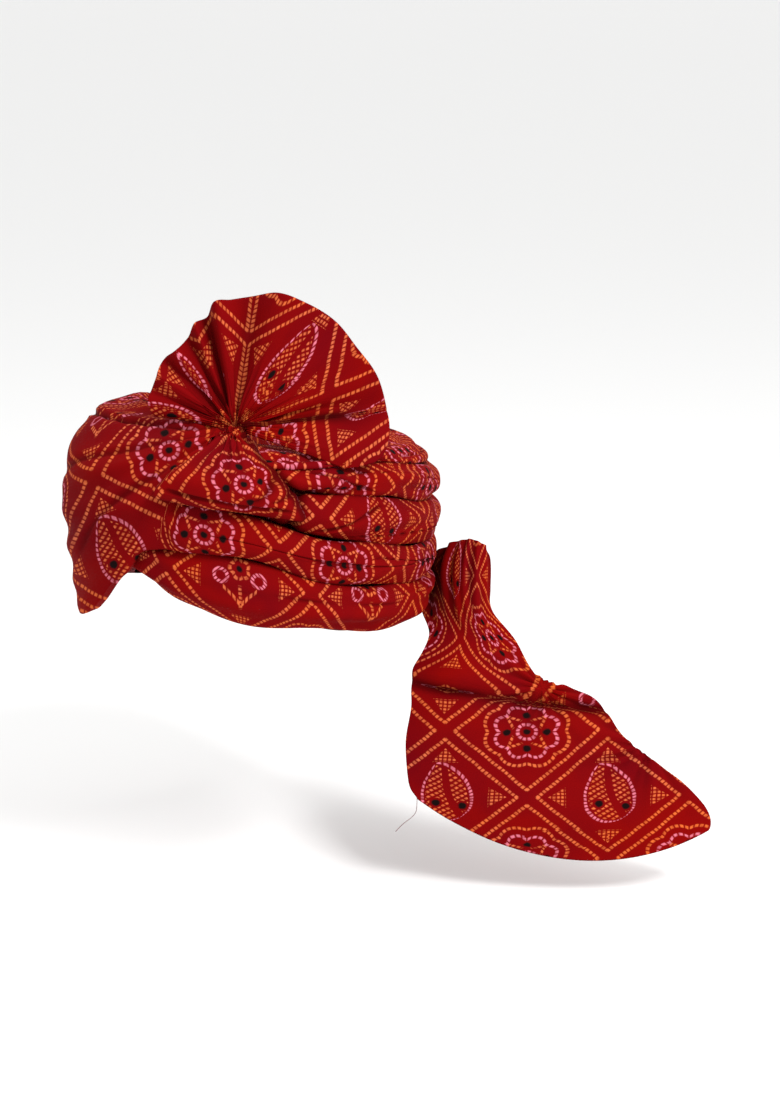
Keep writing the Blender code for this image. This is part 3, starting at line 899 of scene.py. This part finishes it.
        fade = shader.grain(330.0, 1.0, flat)
        uneven = fade * 1.5 + 0.12
        tint = (shader.grain(17.0, 3.0, flat) * 2.6 - 0.85).clamped()
        colour = shader.blend(
            (lines * uneven).clamped(),
            shader.blend(tint, self.red, self.crimson),
            shader.blend(tint, self.orange, self.salmon),
        )
        colour = shader.blend((parts[1] * uneven).clamped(), colour, self.pink)
        colour = shader.blend((parts[2] * 1.9 - fade * 0.9).clamped(), colour, self.spot)
        # Painted shade: the piece's 'fold' attribute darkens the colour toward a dark red in folds, creases
        # and tucked edges.
        fold = shader.node("ShaderNodeAttribute", {"attribute_name": "fold"})
        painted_shade_share = (shader.value(fold.outputs["Fac"]) * self.painted_shade_strength).clamped()
        colour = shader.blend(painted_shade_share, colour, self.painted_shade_colour)

        place = shader.node("ShaderNodeSeparateXYZ", Vector=flat)
        pace = 2 * math.pi / self.thread
        warp, weft = ((shader.value(place.outputs[index]) * pace).math("SINE") for index in range(2))
        slub = shader.grain(900.0, 2.0, flat)
        pucker = lines.most(parts[1]).most(parts[2])
        relief = warp * weft * 0.18 + slub * 0.5 + pucker * 0.9
        bump = shader.node("ShaderNodeBump", Strength=0.35, Distance=0.0004, Height=relief)
        shader.feed(
            shader.principled,
            Base_Color=colour,
            Roughness=slub * 0.16 + (self.roughness - 0.08),
            Normal=bump.outputs[0],
            Sheen_Weight=0.015,
            Sheen_Roughness=0.45,
            Sheen_Tint=(1.0, 0.12, 0.10, 1),
            Specular_IOR_Level=0.02,
        )
        return shader.material


def dress(
    piece: bpy.types.Object,
    node: str,
    surface: Surface,
    flat: tuple[float, float] | None = None,
) -> None:
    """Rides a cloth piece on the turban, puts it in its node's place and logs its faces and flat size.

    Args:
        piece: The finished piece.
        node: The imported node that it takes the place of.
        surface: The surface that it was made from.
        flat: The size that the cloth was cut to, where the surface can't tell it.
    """
    flat = flat or surface.flat_size()
    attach(piece, BODY)
    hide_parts(node)
    LOG.info("%s: %d faces, flat %.3f by %.3f m", piece.name, len(piece.data.polygons), *flat)


@dataclass(frozen=True)
class RollStyle:
    """One wound roll: its creases, its section's depths, its folds and how its pattern lies."""

    name: str
    low: str
    high: str
    low_depth: float
    high_depth: float
    low_pull: float
    high_pull: float
    fill: str
    low_tuck: float
    high_tuck: float
    lay: Lay
    valleys: tuple[Valley, ...] = ()


ROLLS = (
    RollStyle(
        "bottom_roll", "rim", "first", 0.50, 0.76, 0.50, 0.26, "rim_fill", 0.019, 0.008,
        Lay((-0.4176, 0.0412)),
        (
            Valley((0.62, 0.55), (0.80, 0.62), 0.0022, 0.0030),
            Valley((0.78, 0.72), (0.98, 0.50), 0.0022, 0.0035),
            Valley((0.02, 0.6), (0.3, 0.4), 0.0020, 0.0040),
        ),
    ),
    RollStyle(
        "third_roll", "second", "third", 0.84, 0.88, 0.24, 0.24, "fill", 0.008, 0.008,
        Lay((-0.5153, -0.0504)),
        (
            Valley((0.664, 0.05), (0.672, 0.95), 0.0050, 0.0040),
            Valley((0.690, 0.20), (0.745, 0.75), 0.0030, 0.0028),
            Valley((0.72, 0.18), (0.86, 0.45), 0.0030, 0.0030),
            Valley((0.05, 0.35), (0.3, 0.6), 0.0022, 0.0040),
        ),
    ),
    RollStyle(
        "fourth_roll", "third", "fourth", 0.88, 0.80, 0.22, 0.26, "fill", 0.008, 0.008,
        Lay((-0.5248, 0.0038)),
        (
            Valley((0.650, 0.95), (0.668, 0.05), 0.0050, 0.0040),
            Valley((0.685, 0.85), (0.735, 0.25), 0.0032, 0.0028),
            Valley((0.70, 0.75), (0.86, 0.55), 0.0030, 0.0030),
            Valley((0.0, 0.5), (0.22, 0.6), 0.0022, 0.0040),
        ),
    ),
    RollStyle(
        "crown_roll", "fourth", "top", 0.78, -0.35, 0.16, 0.90, "fill", 0.008, 0.020,
        Lay((-0.5371, 0.0015)),
        (
            Valley((0.70, 0.32), (0.92, 0.42), 0.0026, 0.0036),
            Valley((0.05, 0.6), (0.35, 0.5), 0.0024, 0.0050),
        ),
    ),
)


@dataclass
class WoundRolls:
    """The rolls of cloth wound round the head."""

    steps_round: int = 420
    steps_over: int = 30
    crown_drop: float = 0.13

    def surface(self, style: RollStyle) -> Surface:
        """One roll's skin, with both edges tucked between its neighbours."""
        turns = np.linspace(-180, 180, self.steps_round + 1)
        levels = columns(LEVELS, turns)
        fill = WRAP_DEPTH * levels[style.fill]
        low = BODY_HEIGHT * levels[style.low] + GAP / 2
        high = BODY_HEIGHT * levels[style.high] - GAP / 2
        rise = (high - low) * 0.2
        handles = (
            at(turns, fill * style.low_depth, low),
            at(turns, fill * (style.low_depth + style.low_pull), low + rise),
            at(turns, fill * (style.high_depth + style.high_pull), high - rise),
            at(turns, fill * style.high_depth, high),
        )
        skin = bezier(handles, np.linspace(0, 1, self.steps_over))
        drop = BODY_HEIGHT * self.crown_drop if style.name == "crown_roll" else 0
        low_tuck = [
            at(turns, fill * style.low_depth - style.low_tuck * share, low)
            for share in TUCK_SHARES
        ]
        high_tuck = [
            at(turns, fill * style.high_depth - style.high_tuck * share, high - drop * share)
            for share in TUCK_SHARES[::-1]
        ]
        points = np.concatenate([np.stack(low_tuck), skin, np.stack(high_tuck)])
        return Surface(points, closed=True)

    def build(self, cloth: bpy.types.Material) -> None:
        """Makes and dresses every roll."""
        for seed, style in enumerate(ROLLS):
            surface = self.surface(style)
            surface.crease(style.valleys)
            surface.undulate(0.0012, 0.022, 11 + seed, stretch=3.0)
            # Painted shade along both edges, where each roll turns in under its neighbours.
            surface.paint_edge_shade(0.16, 0.16, 0.85)
            piece = surface.piece(style.name + "_cloth", style.lay, cloth)
            dress(piece, style.name, surface)


@dataclass
class SweepingBand:
    """The band that is a roll round the left and back, and spreads into the wing on the right."""

    steps_round: int = 480
    steps_over: int = 56
    wing_start: float = -135.0
    wing_end: float = 18.0
    corner_turn: float = -35.0
    tucks: tuple[float, ...] = (0.009, 0.005, 0.002)
    inner_tucks: tuple[float, ...] = (0.006, 0.014, 0.024, 0.034)
    valleys: tuple[Valley, ...] = (
        Valley((0.535, 0.93), (0.30, 0.74), 0.0050, 0.0055),
        Valley((0.530, 0.88), (0.36, 0.52), 0.0024, 0.0060),
        Valley((0.515, 0.62), (0.44, 0.30), 0.0020, 0.0070),
        Valley((0.30, 0.30), (0.40, 0.12), 0.0020, 0.0060),
        Valley((0.60, 0.45), (0.80, 0.50), 0.0020, 0.0034),
        Valley((0.74, 0.65), (0.90, 0.35), 0.0026, 0.0034),
        Valley((0.125, 0.0), (0.125, 1.0), 0.0030, 0.0030),
    )
    wing_lay: Lay = Lay((0.0106, -0.1080), -19.1, (0.929, 0.929))
    roll_lay: Lay = Lay((-0.0357, -0.0049))

    def surface(self) -> Surface:
        """The band's outer skin, tucked in along both edges."""
        turns = np.linspace(-180, 180, self.steps_round + 1)
        levels, row = columns(LEVELS, turns), columns(BAND, turns)
        gather = np.clip(row["gather"], 0, 1)
        low = BODY_HEIGHT * (levels["first"] - row["drop"]) + GAP / 2
        high = BODY_HEIGHT * (levels["second"] + row["climb"]) - GAP / 2
        low_depth, high_depth = WRAP_DEPTH * row["low_depth"], WRAP_DEPTH * row["high_depth"]
        second_turn = turns + (KNOT_TURN - turns) * gather / 2
        start = at(turns, low_depth, low)
        first = at(turns, low_depth + WRAP_DEPTH * row["low_pull"], low + BODY_HEIGHT * row["low_rise"])
        pulled = high_depth + WRAP_DEPTH * row["high_pull"]
        second = at(second_turn, pulled, high - BODY_HEIGHT * row["high_fall"])
        plain_end = at(turns, high_depth, high)
        end = plain_end + (knot_point() - plain_end) * gather[:, None]
        skin = bezier((start, first, second, end), np.linspace(0, 1, self.steps_over))
        tucks = [at(turns, low_depth - size, low + size * 0.2) for size in self.tucks]
        inward = []
        for size in self.inner_tucks:
            spot = at(turns, high_depth - size, high - size * 0.3)
            under = end + np.array([0, 0, -size * 0.3])
            inward.append(spot + (under - spot) * gather[:, None])
        points = np.concatenate([np.stack(tucks), skin, np.stack(inward)])
        return Surface(points, closed=True, reference=0.35, pin=self.wing_end / 360 + 0.5)

    def pattern(self, surface: Surface) -> Grid:
        """The pattern's coordinates: the wing is one spread of cloth, the rest is a roll with its own.

        On the wing's front they lie flat as the viewer sees it. Behind, they follow lengths along the
        cloth.
        """
        side = surface.points @ facing(VIEWER_TURN + 90)
        rise = surface.points[..., 2] - surface.points @ facing(VIEWER_TURN) * VIEWER_SLOPE
        rows, cols = side.shape
        row = int(rows * surface.reference)
        corner = int(round((self.corner_turn / 360 + 0.5) * (cols - 1)))
        roll = surface.cloth.copy()
        roll[..., 0] = roll[row, :, 0]
        turn = surface.shares()[0] * 360 - 180
        behind = ease((self.corner_turn + 15 - turn) / 30)[..., None]
        measured = roll + np.array([side[row, corner] - roll[row, corner, 0], 0.0])
        measured[..., 1] += rise[row]
        seen = np.stack([side, rise], axis=-1)
        wing = seen + (measured - seen) * behind
        on_wing = ((turn > self.wing_start) & (turn <= self.wing_end))[..., None]
        return np.where(on_wing, self.wing_lay.placed(wing), self.roll_lay.placed(roll))

    def build(self, cloth: bpy.types.Material) -> None:
        """Makes and dresses the band."""
        surface = self.surface()
        surface.crease(self.valleys)
        surface.radiate(knot_point(), 0.0022, 0.045, 26, 0.6)
        surface.undulate(0.0012, 0.034, 31, stretch=2.0)
        column, row = surface.shares()
        # Painted shade along the top and bottom edges where the band is a plain roll, beside its
        # neighbours.
        rolled = ease((column - 0.56) / 0.02) + ease((0.12 - column) / 0.03)
        surface.paint_shade(rolled * 0.85 * (ease((0.14 - row) / 0.14) + ease((row - 0.82) / 0.16)))
        flat = surface.flat_size()
        surface.cloth = self.pattern(surface)
        piece = surface.piece("band_cloth", Lay(), cloth)
        dress(piece, "sweeping_band", surface, flat)


@dataclass
class FrontPuff:
    """The padded bulge under the knot."""

    steps_round: int = 90
    steps_up: int = 80
    left_tuck: float = 0.016
    right_tuck: float = 0.024
    foot_tuck: float = 0.014
    valleys: tuple[Valley, ...] = (
        Valley((0.10, 0.20), (0.90, 0.17), 0.0028, 0.0026),
        Valley((0.66, 0.24), (0.97, 0.50), 0.0030, 0.0040),
        Valley((0.80, 0.26), (0.99, 0.36), 0.0024, 0.0026),
    )
    lay: Lay = Lay((-0.0112, 0.0002), -18.0)

    def surface(self) -> Surface:
        """The puff's outer skin, from its lower edge up to the knot, rolled in at the sides and foot."""
        start, end = PUFF_RIBS[0].turn, PUFF_RIBS[-1].turn
        places = np.linspace(start, end, self.steps_round)
        values = np.array([[rib.low, rib.depth, rib.belly] for rib in PUFF_RIBS])
        shares = through(np.linspace(start, end, len(PUFF_RIBS)), values, places)
        low_share, depth_share, belly_share = shares.T
        belly = WRAP_DEPTH * np.maximum(belly_share, 0.05)
        low, low_depth = BODY_HEIGHT * low_share, WRAP_DEPTH * depth_share
        knot = knot_point() + np.array([0, 0, GAP])
        right, outward = facing(VIEWER_TURN + 90), facing(VIEWER_TURN)
        spread = np.linspace(-1, 1, self.steps_round)[:, None] * CLOTH
        top = knot + right * spread + np.array([0, 0, CLOTH])
        pull = belly + CLOTH
        start = at(places, low_depth + CLOTH, low)
        first = at(places, low_depth + WRAP_DEPTH * 0.10 + pull, low + BODY_HEIGHT * 0.08)
        second = top + outward * (WRAP_DEPTH * 0.95 + pull)[:, None]
        skin = bezier((start, first, second, top), np.linspace(0, 1, self.steps_up))
        foot = [
            at(places, low_depth + CLOTH - self.foot_tuck * share, low - 0.0015 * math.sin(share * math.pi))
            for share in (1, 0.7, 0.4, 0.15)
        ]
        points = np.concatenate([np.stack(foot), skin])
        fade = ease(np.linspace(1, 0, len(points)) / 0.15)[:, None]
        left, right_side = points[:, 0], points[:, -1]
        inner_left = [left - outward * self.left_tuck * share * fade for share in TUCK_SHARES]
        bulge = right * 0.0015
        inner_right = [
            right_side + (bulge * math.sin(share * math.pi) - outward * self.right_tuck * share) * fade
            for share in TUCK_SHARES[::-1]
        ]
        points = np.concatenate([np.stack(inner_left, 1), points, np.stack(inner_right, 1)], axis=1)
        return Surface(points, reference=0.4, pin=0.5)

    def build(self, cloth: bpy.types.Material) -> None:
        """Makes and dresses the puff."""
        surface = self.surface()
        surface.crease(self.valleys)
        surface.radiate(knot_point(), 0.0016, 0.030, 24, 0.5)
        surface.undulate(0.0007, 0.030, 43, stretch=1.4)
        # Painted shade along the foot and the top edge, and in the recess at the puff's right side.
        surface.paint_edge_shade(0.09, 0.02, 0.8)
        column, _ = surface.shares()
        surface.paint_shade(0.8 * ease((column - 0.93) / 0.06))
        piece = surface.piece("puff_cloth", self.lay, cloth)
        dress(piece, "front_puff", surface)


@dataclass
class PleatedFan:
    """The pleated fan that rises from the knot."""

    radius: float = 0.0947
    bow: float = 0.004
    heart: float = 0.012
    forward: float = 0.0012
    raised: float = 0.0020
    pleat: float = 0.0090
    lip_height: float = 0.0028
    wall: float = 0.0012
    steps_round: int = 320
    steps_out: int = 64
    mirrors: tuple[float, ...] = (82.0, 101.0, 112.0, 127.0, 146.0)
    slant: tuple[float, float] = (0.15, 0.42)
    lobe_angle: float = 7.0
    lobe_jump: float = 16.0
    # Ribs that get painted shade, each with its strength.
    shaded_ribs: tuple[tuple[float, float], ...] = (
        (82, 0.8),
        (104, 0.9),
        (118, 0.7),
        (136, 0.6),
        (155, 0.5),
        (72, 0.3),
    )
    lay: Lay = Lay((0.0474, -0.0951), 45.0)

    def surface(self) -> Surface:
        """The fan's sheet, gathered at the knot."""
        angles = np.linspace(FAN_RIBS[-1].angle, FAN_RIBS[0].angle, self.steps_round)
        values = np.array([[rib.reach, rib.fold] for rib in FAN_RIBS])
        reach, fold = through([rib.angle for rib in FAN_RIBS], values, angles).T
        right, level = facing(VIEWER_TURN + 90), facing(VIEWER_TURN)
        lean = math.radians(FAN_LEAN)
        toward = level * math.cos(lean) + np.array([0, 0, math.sin(lean)])
        rise = np.array([0, 0, math.cos(lean)]) - level * math.sin(lean)
        out = np.linspace(self.heart, 1, self.steps_out)[:, None]
        radians = np.radians(angles)[None]
        sideways = self.radius * reach * out * np.cos(radians)
        upward = self.radius * reach * out * np.sin(radians)
        shift = self.pleat * fold * out - self.bow * (sideways / self.radius) ** 2
        root = knot_point() + toward * self.forward + rise * self.raised
        points = root + sideways[..., None] * right + upward[..., None] * rise + shift[..., None] * toward
        surface = Surface(points, reference=1.0)
        folded = np.radians(self.folded(angles))[None]
        away = self.radius * reach * out
        away = away + 0.012 * (1 - np.exp(-away / 0.008))
        along, across = away * np.cos(folded), away * np.sin(folded)
        surface.cloth = np.stack([along - across * self.slant[0], across - along * self.slant[1]], axis=-1)
        return surface

    def folded(self, angles: Grid) -> Grid:
        """The pattern's own angle at each rib: it turns back at each pleat and jumps at the lower lobe."""
        turned = angles.copy()
        for mirror in self.mirrors:
            limit = turned[np.argmin(abs(angles - mirror))]
            turned = np.where(angles > mirror, 2 * limit - turned, turned)
        return turned - self.lobe_jump * ease((self.lobe_angle - angles) / 3 + 0.5)

    def flat(self, surface: Surface) -> tuple[float, float]:
        """The mean reach of the cloth from the knot, and the length with the fan's area."""
        reach = float(np.mean([rib.reach for rib in FAN_RIBS])) * self.radius
        return round(reach, 3), round(surface.area() / reach, 3)

    def build(self, cloth: bpy.types.Material) -> None:
        """Makes and dresses the fan."""
        surface = self.surface()
        surface.radiate(surface.points[0].mean(axis=0), 0.0012, 0.040, 44, 0.6)
        column, row = surface.shares()
        angle = FAN_RIBS[-1].angle + (FAN_RIBS[0].angle - FAN_RIBS[-1].angle) * column
        inner = ease((0.85 - row) / 0.4) * ease(row / 0.08)
        lip = np.exp(-(((angle - 12.5) / 3.5) ** 2)) - 1.3 * np.exp(-(((angle - 7.5) / 2.4) ** 2))
        surface.push(-self.lip_height * lip * inner)
        # Painted shade in the crease above the lower lobe, along the shaded ribs, and near the knot.
        surface.paint_shade(np.exp(-(((angle - 6.5) / 3.2) ** 2)) * ease((0.92 - row) / 0.3))
        for rib_angle, strength in self.shaded_ribs:
            near = np.exp(-(((angle - rib_angle) / 4.0) ** 2))
            surface.paint_shade(near * strength * (1 - 0.6 * row))
        surface.paint_shade(0.8 * ease(1 - row / 0.16))
        surface.undulate(0.0007, 0.045, 57, stretch=1.0)
        piece = surface.piece("fan_cloth", self.lay, cloth, wall=self.wall)
        dress(piece, "pleated_fan", surface, self.flat(surface))


@dataclass
class Tail:
    """The free end of the cloth behind the left ear."""

    drop: float = 0.170
    reach: float = 0.200
    wall: float = 0.0010
    neck_cloth: float = 0.170
    slope: float = 1.16
    fold_hides: float = 0.030
    rounded: float = 0.13
    fold_start: tuple[float, float] = (0.108, -0.0535)
    fold_fall: float = 0.137
    gathers: tuple[tuple[float, float, float], ...] = (
        (0.1990, 0.016, -0.0560),
        (0.2740, 0.036, -0.0935),
    )
    steps_across: int = 190
    steps_down: int = 240
    lay: Lay = Lay((-0.1660, 0.1267), 0.0, (0.88, 1.0))

    def point(self, triple: tuple[float, float, float]) -> Grid:
        """Turns one (out, height, ahead) triple of the tail's table into a point."""
        out, height, ahead = triple
        angle = math.radians(TAIL_TURN)
        outward, viewer = facing(TAIL_TURN), facing(TAIL_TURN - 90)
        width, length = HEAD_WIDTH / 2 + WRAP_DEPTH, HEAD_LENGTH / 2 + WRAP_DEPTH
        face = math.hypot(width * math.sin(angle), length * math.cos(angle))
        level = outward * (face + self.reach * out) + viewer * self.reach * ahead
        return level + np.array([0, 0, self.drop * height])

    def surface(self) -> Surface:
        """The tail's sheet, bunched where it leaves the rolls."""
        edges = np.array([[self.point(p) for p in (row.left, row.middle, row.right)] for row in TAIL_ROWS])
        spots = np.linspace(0, 1, len(TAIL_ROWS))
        down = np.linspace(1, 0, self.steps_down)
        smooth = through(spots, edges.reshape(len(TAIL_ROWS), 9), down).reshape(-1, 3, 3)
        share = np.linspace(0, 1, self.steps_across)[None, :, None]
        left, middle, right = (smooth[:, None, side] for side in range(3))
        tip = (self.rounded * (1 - np.sqrt(1 - np.clip((down - 0.93) / 0.07, 0, 1) ** 2)))[:, None, None]
        right = right + (middle - right) * tip
        points = left * 2 * (share - 0.5) * (share - 1) - middle * 4 * share * (share - 1)
        points = points + right * 2 * share * (share - 0.5)
        surface = Surface(points)
        surface.cloth = self.pattern(points)
        return surface

    def pattern(self, points: Grid) -> Grid:
        """Cloth coordinates: even where the tail is spread, drawn together in its bunched neck."""
        side, height = points @ facing(TAIL_TURN), points[..., 2]
        share = np.linspace(0, 1, self.steps_across)[None]
        middle = side.mean(axis=1, keepdims=True)
        width = np.ptp(side, axis=1, keepdims=True)
        bunched = ease((height.mean(axis=1, keepdims=True) + 0.080) / 0.070)
        spread = middle + (share - 0.5) * (width + bunched * np.maximum(self.neck_cloth - width, 0))
        along = side + (spread - side) * bunched
        hidden = self.fold_hides * ease((self.fold_height(side) - height) / 0.006 + 0.5)
        return np.stack([along, height * self.slope - hidden], axis=-1)

    def fold_height(self, side: Grid) -> Grid:
        """The height of the fold that crosses the tail."""
        return self.fold_start[1] - self.fold_fall * (side - self.fold_start[0])

    def build(self, cloth: bpy.types.Material) -> None:
        """Makes and dresses the tail."""
        surface = self.surface()
        column, row = surface.shares()
        fall = 1 - row
        neck = ease((0.46 - fall) / 0.26)
        bunches = np.sin(column * 24 + fall * 5) * 0.5 + np.sin(column * 41 + 2.0 - fall * 3) * 0.5
        surface.push(bunches * neck * 0.0020)
        # Painted shade in the bunched neck: at the bottoms of its folds and on its left side, between the
        # rolls and the front fold.
        surface.paint_shade(neck * (0.55 * np.clip(-bunches, 0, 1) + 0.75 * ease((0.36 - column) / 0.20)))
        side = surface.points @ facing(TAIL_TURN)
        above = (surface.points[..., 2] - self.fold_height(side)) / 0.004
        surface.push(0.0028 * np.exp(-(((above - 2.0) / 1.5) ** 2)) - 0.0026 * np.exp(-(above**2)))
        # Painted shade along the fold that crosses the tail.
        surface.paint_shade(0.75 * np.exp(-(above**2)))
        right, outward = facing(TAIL_TURN), facing(TAIL_TURN - 90)
        for spot in self.gathers:
            centre = right * spot[0] + outward * spot[1] + np.array([0, 0, spot[2]])
            surface.radiate(centre, 0.0018, 0.036, 12, 0.6)
        surface.undulate(0.0012, 0.060, 71, stretch=1.2)
        piece = surface.piece("tail_cloth", self.lay, cloth, wall=self.wall)
        dress(piece, "tail", surface)


@dataclass
class BaseWrap:
    """The first turns of cloth, which line the opening and close the crown."""

    steps_round: int = 240
    steps_up: int = 40
    lay: Lay = Lay((0.02, 0.03))

    def surface(self) -> Surface:
        """The dome's wall, out over the crown and back down inside it."""
        turns = np.linspace(-180, 180, self.steps_round + 1)
        edge = BODY_HEIGHT * columns(LEVELS, turns)["rim"] + CLOTH
        climb = np.linspace(0, 1, self.steps_up)[:, None]
        walls = []
        for offset in (CLOTH, 0.0):
            top = HEAD_HEIGHT + offset
            angle = np.clip((climb - 0.12) / 0.88, 0, 1) * math.pi / 2
            level = BROW_HEIGHT + (top - BROW_HEIGHT) * np.sin(angle)
            height = edge + np.maximum(level - edge, 0) * ease(climb / 0.3)
            height = np.where(angle >= math.pi / 2 - 1e-9, top, np.minimum(height, top))
            depth = dome_depth(height, offset)
            walls.append(at(turns, depth, height))
        points = np.concatenate([walls[1][::-1], walls[0]])
        return Surface(points, closed=True, reference=0.5, sides=2)

    def build(self, cloth: bpy.types.Material) -> None:
        """Makes and dresses the base wrap."""
        surface = self.surface()
        piece = surface.piece("base_cloth", self.lay, cloth)
        dress(piece, "base_wrap", surface)


@dataclass
class LooseThread:
    """The loose thread at the tail's lower left corner."""

    diameter: float = 0.0004
    drops: tuple[tuple[float, float], ...] = (
        (0.0, 0.0),
        (0.0, -0.0055),
        (-0.0007, -0.0108),
        (-0.0040, -0.0145),
        (-0.0083, -0.0178),
        (-0.0116, -0.0209),
        (-0.0149, -0.0248),
    )

    def build(self, start: Vector) -> None:
        """Hangs the thread from this point, in the plane that faces the viewer."""
        shader = Shader("thread")
        tone = shader.blend(shader.grain(900.0, 2.0), (0.05, 0.004, 0.006), (0.16, 0.012, 0.02))
        shader.feed(shader.principled, Base_Color=tone, Roughness=0.8)
        curve = bpy.data.curves.new("loose_thread", "CURVE")
        curve.dimensions = "3D"
        curve.bevel_depth = self.diameter / 2
        curve.bevel_resolution = 2
        curve.resolution_u = 8
        curve.use_fill_caps = True
        right = Vector(facing(VIEWER_TURN + 90))
        spline = curve.splines.new("NURBS")
        spline.points.add(len(self.drops) - 1)
        for spot, (side, down) in zip(spline.points, self.drops):
            spot.co = (*(start + right * side + Vector((0, 0, down))), 1)
        spline.order_u = 3
        spline.use_endpoint_u = True
        curve.materials.append(shader.material)
        piece = in_scene("loose_thread", curve)
        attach(piece, BODY)
        length = self.length()
        LOG.info("loose_thread: %.3f m", length)

    def length(self) -> float:
        """The thread's length along its route."""
        spots = [Vector(drop) for drop in self.drops]
        return round(sum((after - spot).length for spot, after in zip(spots, spots[1:])) * 0.985, 4)


@dataclass
class Studio:
    """Camera, pale floor and soft light."""

    azimuth: float = 40.0
    elevation: float = 15.0
    distance: float = 1.60
    aim_right: float = 0.0924
    aim_up: float = 0.0353
    view_height: float = 0.7756
    floor_drop: float = 0.030
    floor_radius: float = 60.0

    def build(self, lowest: float) -> None:
        """Sets the camera, the floor and the lights.

        Args:
            lowest: The object's lowest height, which the floor stays under.
        """
        azimuth, elevation = math.radians(self.azimuth), math.radians(self.elevation)
        right = Vector((math.cos(azimuth), math.sin(azimuth), 0))
        level = Vector((math.sin(azimuth), -math.cos(azimuth), 0))
        back = level * math.cos(elevation) + Vector((0, 0, math.sin(elevation)))
        up = back.cross(right)
        aim = right * self.aim_right + up * self.aim_up
        data = bpy.data.cameras.new("camera")
        data.sensor_fit = "VERTICAL"
        data.sensor_height = 36
        data.lens = 36 * self.distance / self.view_height
        camera = in_scene("camera", data)
        turned = Matrix((right, up, back)).transposed().to_4x4()
        camera.matrix_world = Matrix.Translation(aim + back * self.distance) @ turned
        bpy.context.scene.camera = camera
        self.floor(lowest - self.floor_drop)
        key = aim + back * 1.15 + right * 0.80 + Vector((0, 0, 0.95))
        self.lamp("key", key, aim + right * 0.06, 0.45, 27)
        self.lamp("top", aim + Vector((0, 0, 1.4)) - right * 0.2, aim, 0.6, 5)
        world = bpy.data.worlds.new("studio")
        world.use_nodes = True
        world.node_tree.nodes["Background"].inputs[0].default_value = (1, 1, 1, 1)
        world.node_tree.nodes["Background"].inputs[1].default_value = 1.0
        bpy.context.scene.world = world
        bpy.context.scene.view_settings.view_transform = "Standard"

    def floor(self, height: float) -> None:
        """A wide, pale, level floor."""
        mesh = bmesh.new()
        bmesh.ops.create_circle(mesh, cap_ends=True, segments=96, radius=self.floor_radius)
        bmesh.ops.translate(mesh, verts=mesh.verts, vec=(0, 0, height))
        data = bpy.data.meshes.new("floor")
        mesh.to_mesh(data)
        mesh.free()
        shader = Shader("floor")
        tone = shader.blend(shader.grain(4.0, 3.0), (0.84, 0.84, 0.835), (0.88, 0.88, 0.875))
        shader.feed(shader.principled, Base_Color=tone, Roughness=0.9)
        data.materials.append(shader.material)
        in_scene("floor", data)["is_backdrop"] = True

    @staticmethod
    def lamp(name: str, place: Vector, aim: Vector, size: float, power: float) -> None:
        """A square soft light aimed at the object."""
        data = bpy.data.lights.new(name, "AREA")
        data.shape = "SQUARE"
        data.size = size
        data.energy = power
        turned = (place - aim).to_track_quat("Z", "Y").to_matrix().to_4x4()
        in_scene(name, data).matrix_world = Matrix.Translation(place) @ turned


def main() -> None:
    """Builds the turban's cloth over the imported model, then the studio."""
    logging.basicConfig(level=logging.INFO, format="%(message)s")
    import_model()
    frame_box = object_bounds()
    cloth = DyedCotton("dyed_cotton").build()
    WoundRolls().build(cloth)
    SweepingBand().build(cloth)
    FrontPuff().build(cloth)
    PleatedFan().build(cloth)
    tail = Tail()
    tail.build(cloth)
    BaseWrap().build(cloth)
    LooseThread().build(Vector(tail.surface().points[0, 0]))
    Studio().build(float(frame_box[0][2]))


if __name__ == "__main__":
    main()
